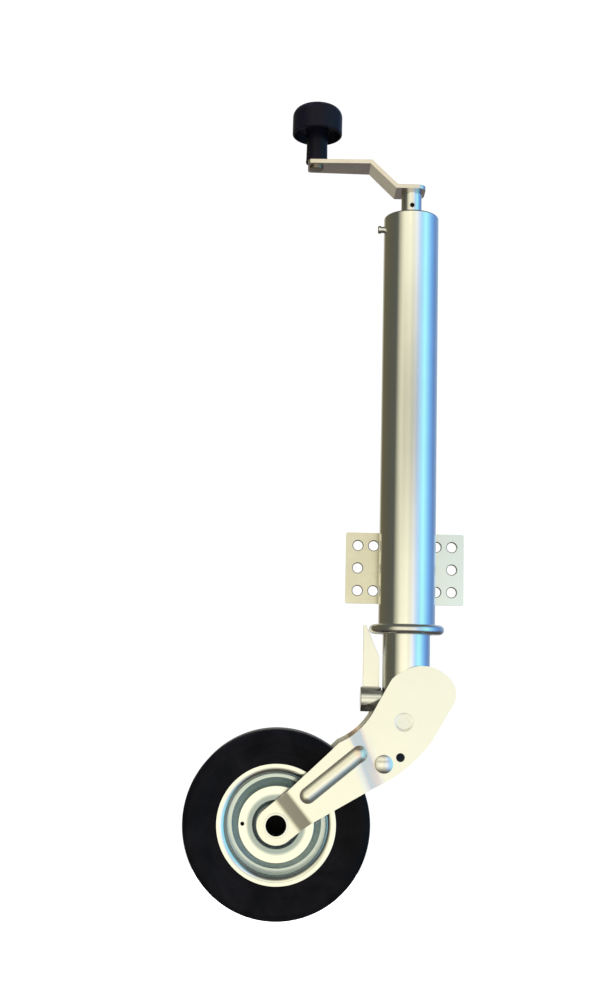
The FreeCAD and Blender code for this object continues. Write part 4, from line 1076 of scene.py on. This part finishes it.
@dataclass
class Fork(SubAssembly):
    """The two pressed cheeks with their pins, the catch and the axle.

    Each fold has the lean of its square direction in degrees, and where its soft band starts and
    ends. The painted shade in the axle's bore has the bore's radius with some margin, and a reach
    each way.
    """

    body: str = "fork"
    axle_shade_span: tuple[float, float] = (9.4, 21.0)
    folds: Sequence[tuple[float, float, float]] = (
        (22.15, -130.3, -98.8), (39.8, -260.7, -239.7))

    def build(self) -> None:
        """Model and dress the fork."""
        self.build_cheek("fork_cheek_front")
        self.build_cheek("fork_cheek_rear")
        for node in ("pivot_pin", "cross_pin", "cross_spacer"):
            self.edged(node, Slot.ZINC_TURNED, 0.3)
        self.edged("catch_plate", Slot.ZINC_SHEET, 0.5)
        axle = self.edged("axle_tube", Slot.ZINC_TURNED, 0.3)
        # Painted shade: the inside of the axle's bore takes a near-black finish.
        self.refinish_near_axis(axle, Slot.OLD_GREASE, AXLE, AXIS_Y, *self.axle_shade_span)
        self.edged("axle_washers", Slot.ZINC_TURNED, 0.2)

    def build_cheek(self, node: str) -> None:
        """Dress a cheek, with the soft bends that the press leaves at the joggle and the tab.

        Args:
            node: the cheek's solid.
        """
        cheek = copied(node, node + "_dressed")
        with editing(cheek, "FACE"):
            for lean, first, last in self.folds:
                square = Vector((math.cos(math.radians(lean)), 0, math.sin(math.radians(lean))))
                for level in (first, last):
                    bpy.ops.mesh.select_all(action="SELECT")
                    bpy.ops.mesh.bisect(plane_co=tuple(square * level * MM),
                                        plane_no=tuple(square))
        soften(cheek, 0.5, 40)
        smooth(cheek, 41)
        self.fit(cheek, Slot.ZINC_SHEET, node)


@dataclass
class Wheel(SubAssembly):
    """The pressed rim halves, the hub and the solid tyre, turned on the axle."""

    body: str = "wheel"
    seat: float = 52.0
    flare: float = 6.5
    flare_start: float = 12.5
    rim: float = 61.0
    lip: float = 20.5
    sheet: float = 1.5
    tyre_outer: float = 96.0
    tyre_half: float = 25.0
    shoulder: float = 9.0
    bead: float = 72.0
    bead_drop: float = 3.0
    side_wall: float = 83.5
    mould_line: float = 0.35

    def build(self) -> None:
        """Model and dress the wheel."""
        for node in ("rim_half_front", "rim_half_rear"):
            self.edged(node, Slot.RIM_ZINC, 0.5, 24)
        self.edged("hub_tube", Slot.ZINC_TURNED, 0.3)
        self.keep(Slot.GUIDE_PLASTIC, "hub_bush_front", "hub_bush_rear")
        self.build_tyre()

    def build_tyre(self) -> None:
        """Turn the tyre with its bead ring, side walls, shoulders and narrow mould line."""
        dip = self.tyre_half - self.bead_drop
        side = [*rounded((self.seat + self.flare, self.flare_start), 180, 90, self.flare, 8),
                (self.rim, self.lip - self.sheet),
                (self.rim + 0.3, self.lip), (self.rim + 2.4, self.lip + 0.35),
                (self.bead - 1.2, dip - 0.2), (self.bead, dip), (self.bead + 0.9, dip + 0.6),
                (self.side_wall - 1, self.tyre_half - 0.25), (self.side_wall, self.tyre_half),
                (self.side_wall + 2.4, self.tyre_half - 0.15)]
        corner = rounded((self.tyre_outer - self.shoulder, self.tyre_half - self.shoulder),
                         90, 0, self.shoulder, 10)
        half = side + corner + [(self.tyre_outer, self.mould_line)]
        profile = half + [(radius, -height) for radius, height in reversed(half)]
        tyre = turned("tyre_moulded", profile, AXLE, -AXIS_Y, 192)
        smooth(tyre, 24)
        self.fit(tyre, Slot.TYRE_RUBBER, "tyre")


# ---------------------------------------------------------------- studio

@dataclass
class Studio:
    """The pale floor, the soft light and the camera.

    The floor lies below the wheel's lowest reach. Around are colours by the angle from the front,
    and tiers their shares by height there, fading over front_edge, all in degrees. The bands are
    heights, as sines, over which the colours overhead and underneath set in.
    """

    camera_place: tuple[float, float, float] = (-0.118, -1.344, -0.1035)
    pitch: float = 7.5
    roll: float = 1.35
    lens: float = 44.46
    floor_level: float = -0.5845
    floor_size: float = 3.2
    floor_glow: float = 0.45
    lamp_place: tuple[float, float, float] = (-0.3, -0.3, 2.2)
    lamp_size: float = 2.4
    lamp_power: float = 220.0
    around: Sequence[tuple[float, Colour]] = (
        (-180, (0.85, 0.84, 0.8)), (-160, (0.5, 0.48, 0.38)), (-142, (0.13, 0.115, 0.065)),
        (-100, (0.1, 0.095, 0.065)), (-62, (0.09, 0.092, 0.078)), (-49, (0.48, 0.46, 0.33)),
        (-34, (0.86, 0.82, 0.6)), (-6, (0.98, 0.94, 0.7)), (6, (0.82, 0.8, 0.62)),
        (20, (0.86, 0.88, 0.84)), (30, (0.6, 0.72, 0.92)), (44, (0.38, 0.72, 0.95)),
        (60, (0.42, 0.98, 1.0)), (72, (0.32, 0.74, 0.96)), (92, (0.17, 0.42, 0.84)),
        (116, (0.13, 0.24, 0.5)), (146, (0.26, 0.38, 0.56)), (180, (0.85, 0.84, 0.8)))
    tiers: Sequence[tuple[float, float]] = (
        (-24, 0.95), (-6, 1.22), (0, 1.12), (5, 0.96), (11, 0.56), (15, 0.72), (20, 1.1),
        (28, 1.05), (40, 0.75))
    front_edge: tuple[float, float] = (26, 44)
    high_band: tuple[float, float] = (0.47, 0.87)
    low_band: tuple[float, float] = (-0.8, -0.26)
    back_rise: float = 0.34
    overhead: Colour = (0.11, 0.11, 0.09)
    underneath: Colour = (0.08, 0.068, 0.055)
    strength: float = 1.15
    backdrop: float = 1.05

    def build(self) -> None:
        """Make the floor, the surroundings, the lamp and the camera."""
        self.build_floor()
        self.build_world()
        self.build_lamp()
        self.build_camera()
        bpy.context.scene.view_settings.view_transform = "Standard"

    def build_floor(self) -> None:
        """Lay a plain pale floor below the wheel, left out of the reflections."""
        bpy.ops.object.select_all(action="DESELECT")
        bpy.ops.mesh.primitive_plane_add(size=self.floor_size,
                                         location=(-0.1, 0, self.floor_level))
        floor = bpy.context.object
        floor.name = "floor"
        floor.visible_glossy = False
        floor.visible_shadow = False
        material, _, shader = new_material("pale_floor")
        for label, value in (("Base Color", (0.9, 0.9, 0.9, 1)), ("Emission Color", (1, 1, 1, 1)),
                             ("Emission Strength", self.floor_glow), ("Roughness", 0.9)):
            shader.inputs[label].default_value = value
        floor.data.materials.append(material)

    def build_world(self) -> None:
        """Surround the object: cream in front, dark at the left, blue at the right."""
        world = bpy.data.worlds.new("studio")
        bpy.context.scene.world = world
        world.use_nodes = True
        bench = NodeBench(world.node_tree)
        place = bench.add("ShaderNodeTexCoord")
        parts = bench.add("ShaderNodeSeparateXYZ")
        bench.join(place.outputs["Generated"], parts.inputs[0])
        ahead = bench.add("ShaderNodeMath", operation="MULTIPLY", in_1=-1.0)
        bench.join(parts.outputs["Y"], ahead.inputs[0])
        turn = bench.add("ShaderNodeMath", operation="ARCTAN2")
        bench.join(parts.outputs["X"], turn.inputs[0])
        bench.join(ahead.outputs[0], turn.inputs[1])
        walls = bench.ramp(bench.spread(turn.outputs[0], 0, 1, -math.pi, math.pi),
                           [(angle / 360 + 0.5, colour) for angle, colour in self.around])

        side = bench.add("ShaderNodeMath", operation="ABSOLUTE")
        bench.join(turn.outputs[0], side.inputs[0])
        front = bench.spread(side.outputs[0], 1, 0,
                             *(math.radians(angle) for angle in self.front_edge))
        tiers = bench.ramp(bench.spread(parts.outputs["Z"], 0, 1, -1, 1),
                           [(math.sin(math.radians(angle)) / 2 + 0.5, (share, share, share))
                            for angle, share in self.tiers])
        lit = bench.multiply(walls, bench.blend(front, (1, 1, 1), tiers))

        high = bench.spread(parts.outputs["Z"], 0, 1, *self.high_band, "SMOOTHSTEP")
        above = bench.blend(high, lit, self.overhead)
        lower = bench.add("ShaderNodeMath", operation="SUBTRACT")
        bench.join(parts.outputs["Z"], lower.inputs[0])
        bench.join(bench.spread(parts.outputs["Y"], 0, self.back_rise, -0.1, 0.6),
                   lower.inputs[1])
        low = bench.spread(lower.outputs[0], 1, 0, *self.low_band, "SMOOTHSTEP")
        all_round = bench.blend(low, above, self.underneath)

        ground = world.node_tree.nodes["Background"]
        bench.join(all_round, ground.inputs[0])
        ground.inputs[1].default_value = self.strength
        white = bench.add("ShaderNodeBackground", in_0=(1, 1, 1, 1), in_1=self.backdrop)
        path = bench.add("ShaderNodeLightPath")
        mix = bench.add("ShaderNodeMixShader")
        bench.join(path.outputs["Is Camera Ray"], mix.inputs[0])
        bench.join(ground.outputs[0], mix.inputs[1])
        bench.join(white.outputs[0], mix.inputs[2])
        bench.join(mix.outputs[0], world.node_tree.nodes["World Output"].inputs[0])

    def build_lamp(self) -> None:
        """Hang a large soft lamp over the object, left out of the reflections."""
        bpy.ops.object.select_all(action="DESELECT")
        bpy.ops.object.light_add(type="AREA", location=self.lamp_place)
        lamp = bpy.context.object
        lamp.name = "overhead_softbox"
        lamp.visible_glossy = False
        lamp.data.shape = "RECTANGLE"
        lamp.data.size = lamp.data.size_y = self.lamp_size
        lamp.data.energy = self.lamp_power

    def build_camera(self) -> None:
        """Set up the camera at the photograph's viewing angle."""
        bpy.ops.object.select_all(action="DESELECT")
        bpy.ops.object.camera_add(location=self.camera_place)
        camera = bpy.context.object
        camera.name = "photo_camera"
        turn = (Matrix.Rotation(math.radians(90 + self.pitch), 4, "X")
                @ Matrix.Rotation(math.radians(self.roll), 4, "Z"))
        camera.rotation_euler = turn.to_euler()
        camera.data.lens = self.lens
        camera.data.sensor_width = 36.0
        bpy.context.scene.camera = camera


def main() -> None:
    """Build the finishes, the sub-assemblies and the studio, in order."""
    materials = build_finishes()
    for maker in (OuterTube, Crank, Knob, Slider, Lock, Fork, Wheel):
        part = maker(materials)
        part.build()
        log.info("%s done", maker.__name__)
    Studio().build()


if __name__ == "__main__":
    main()
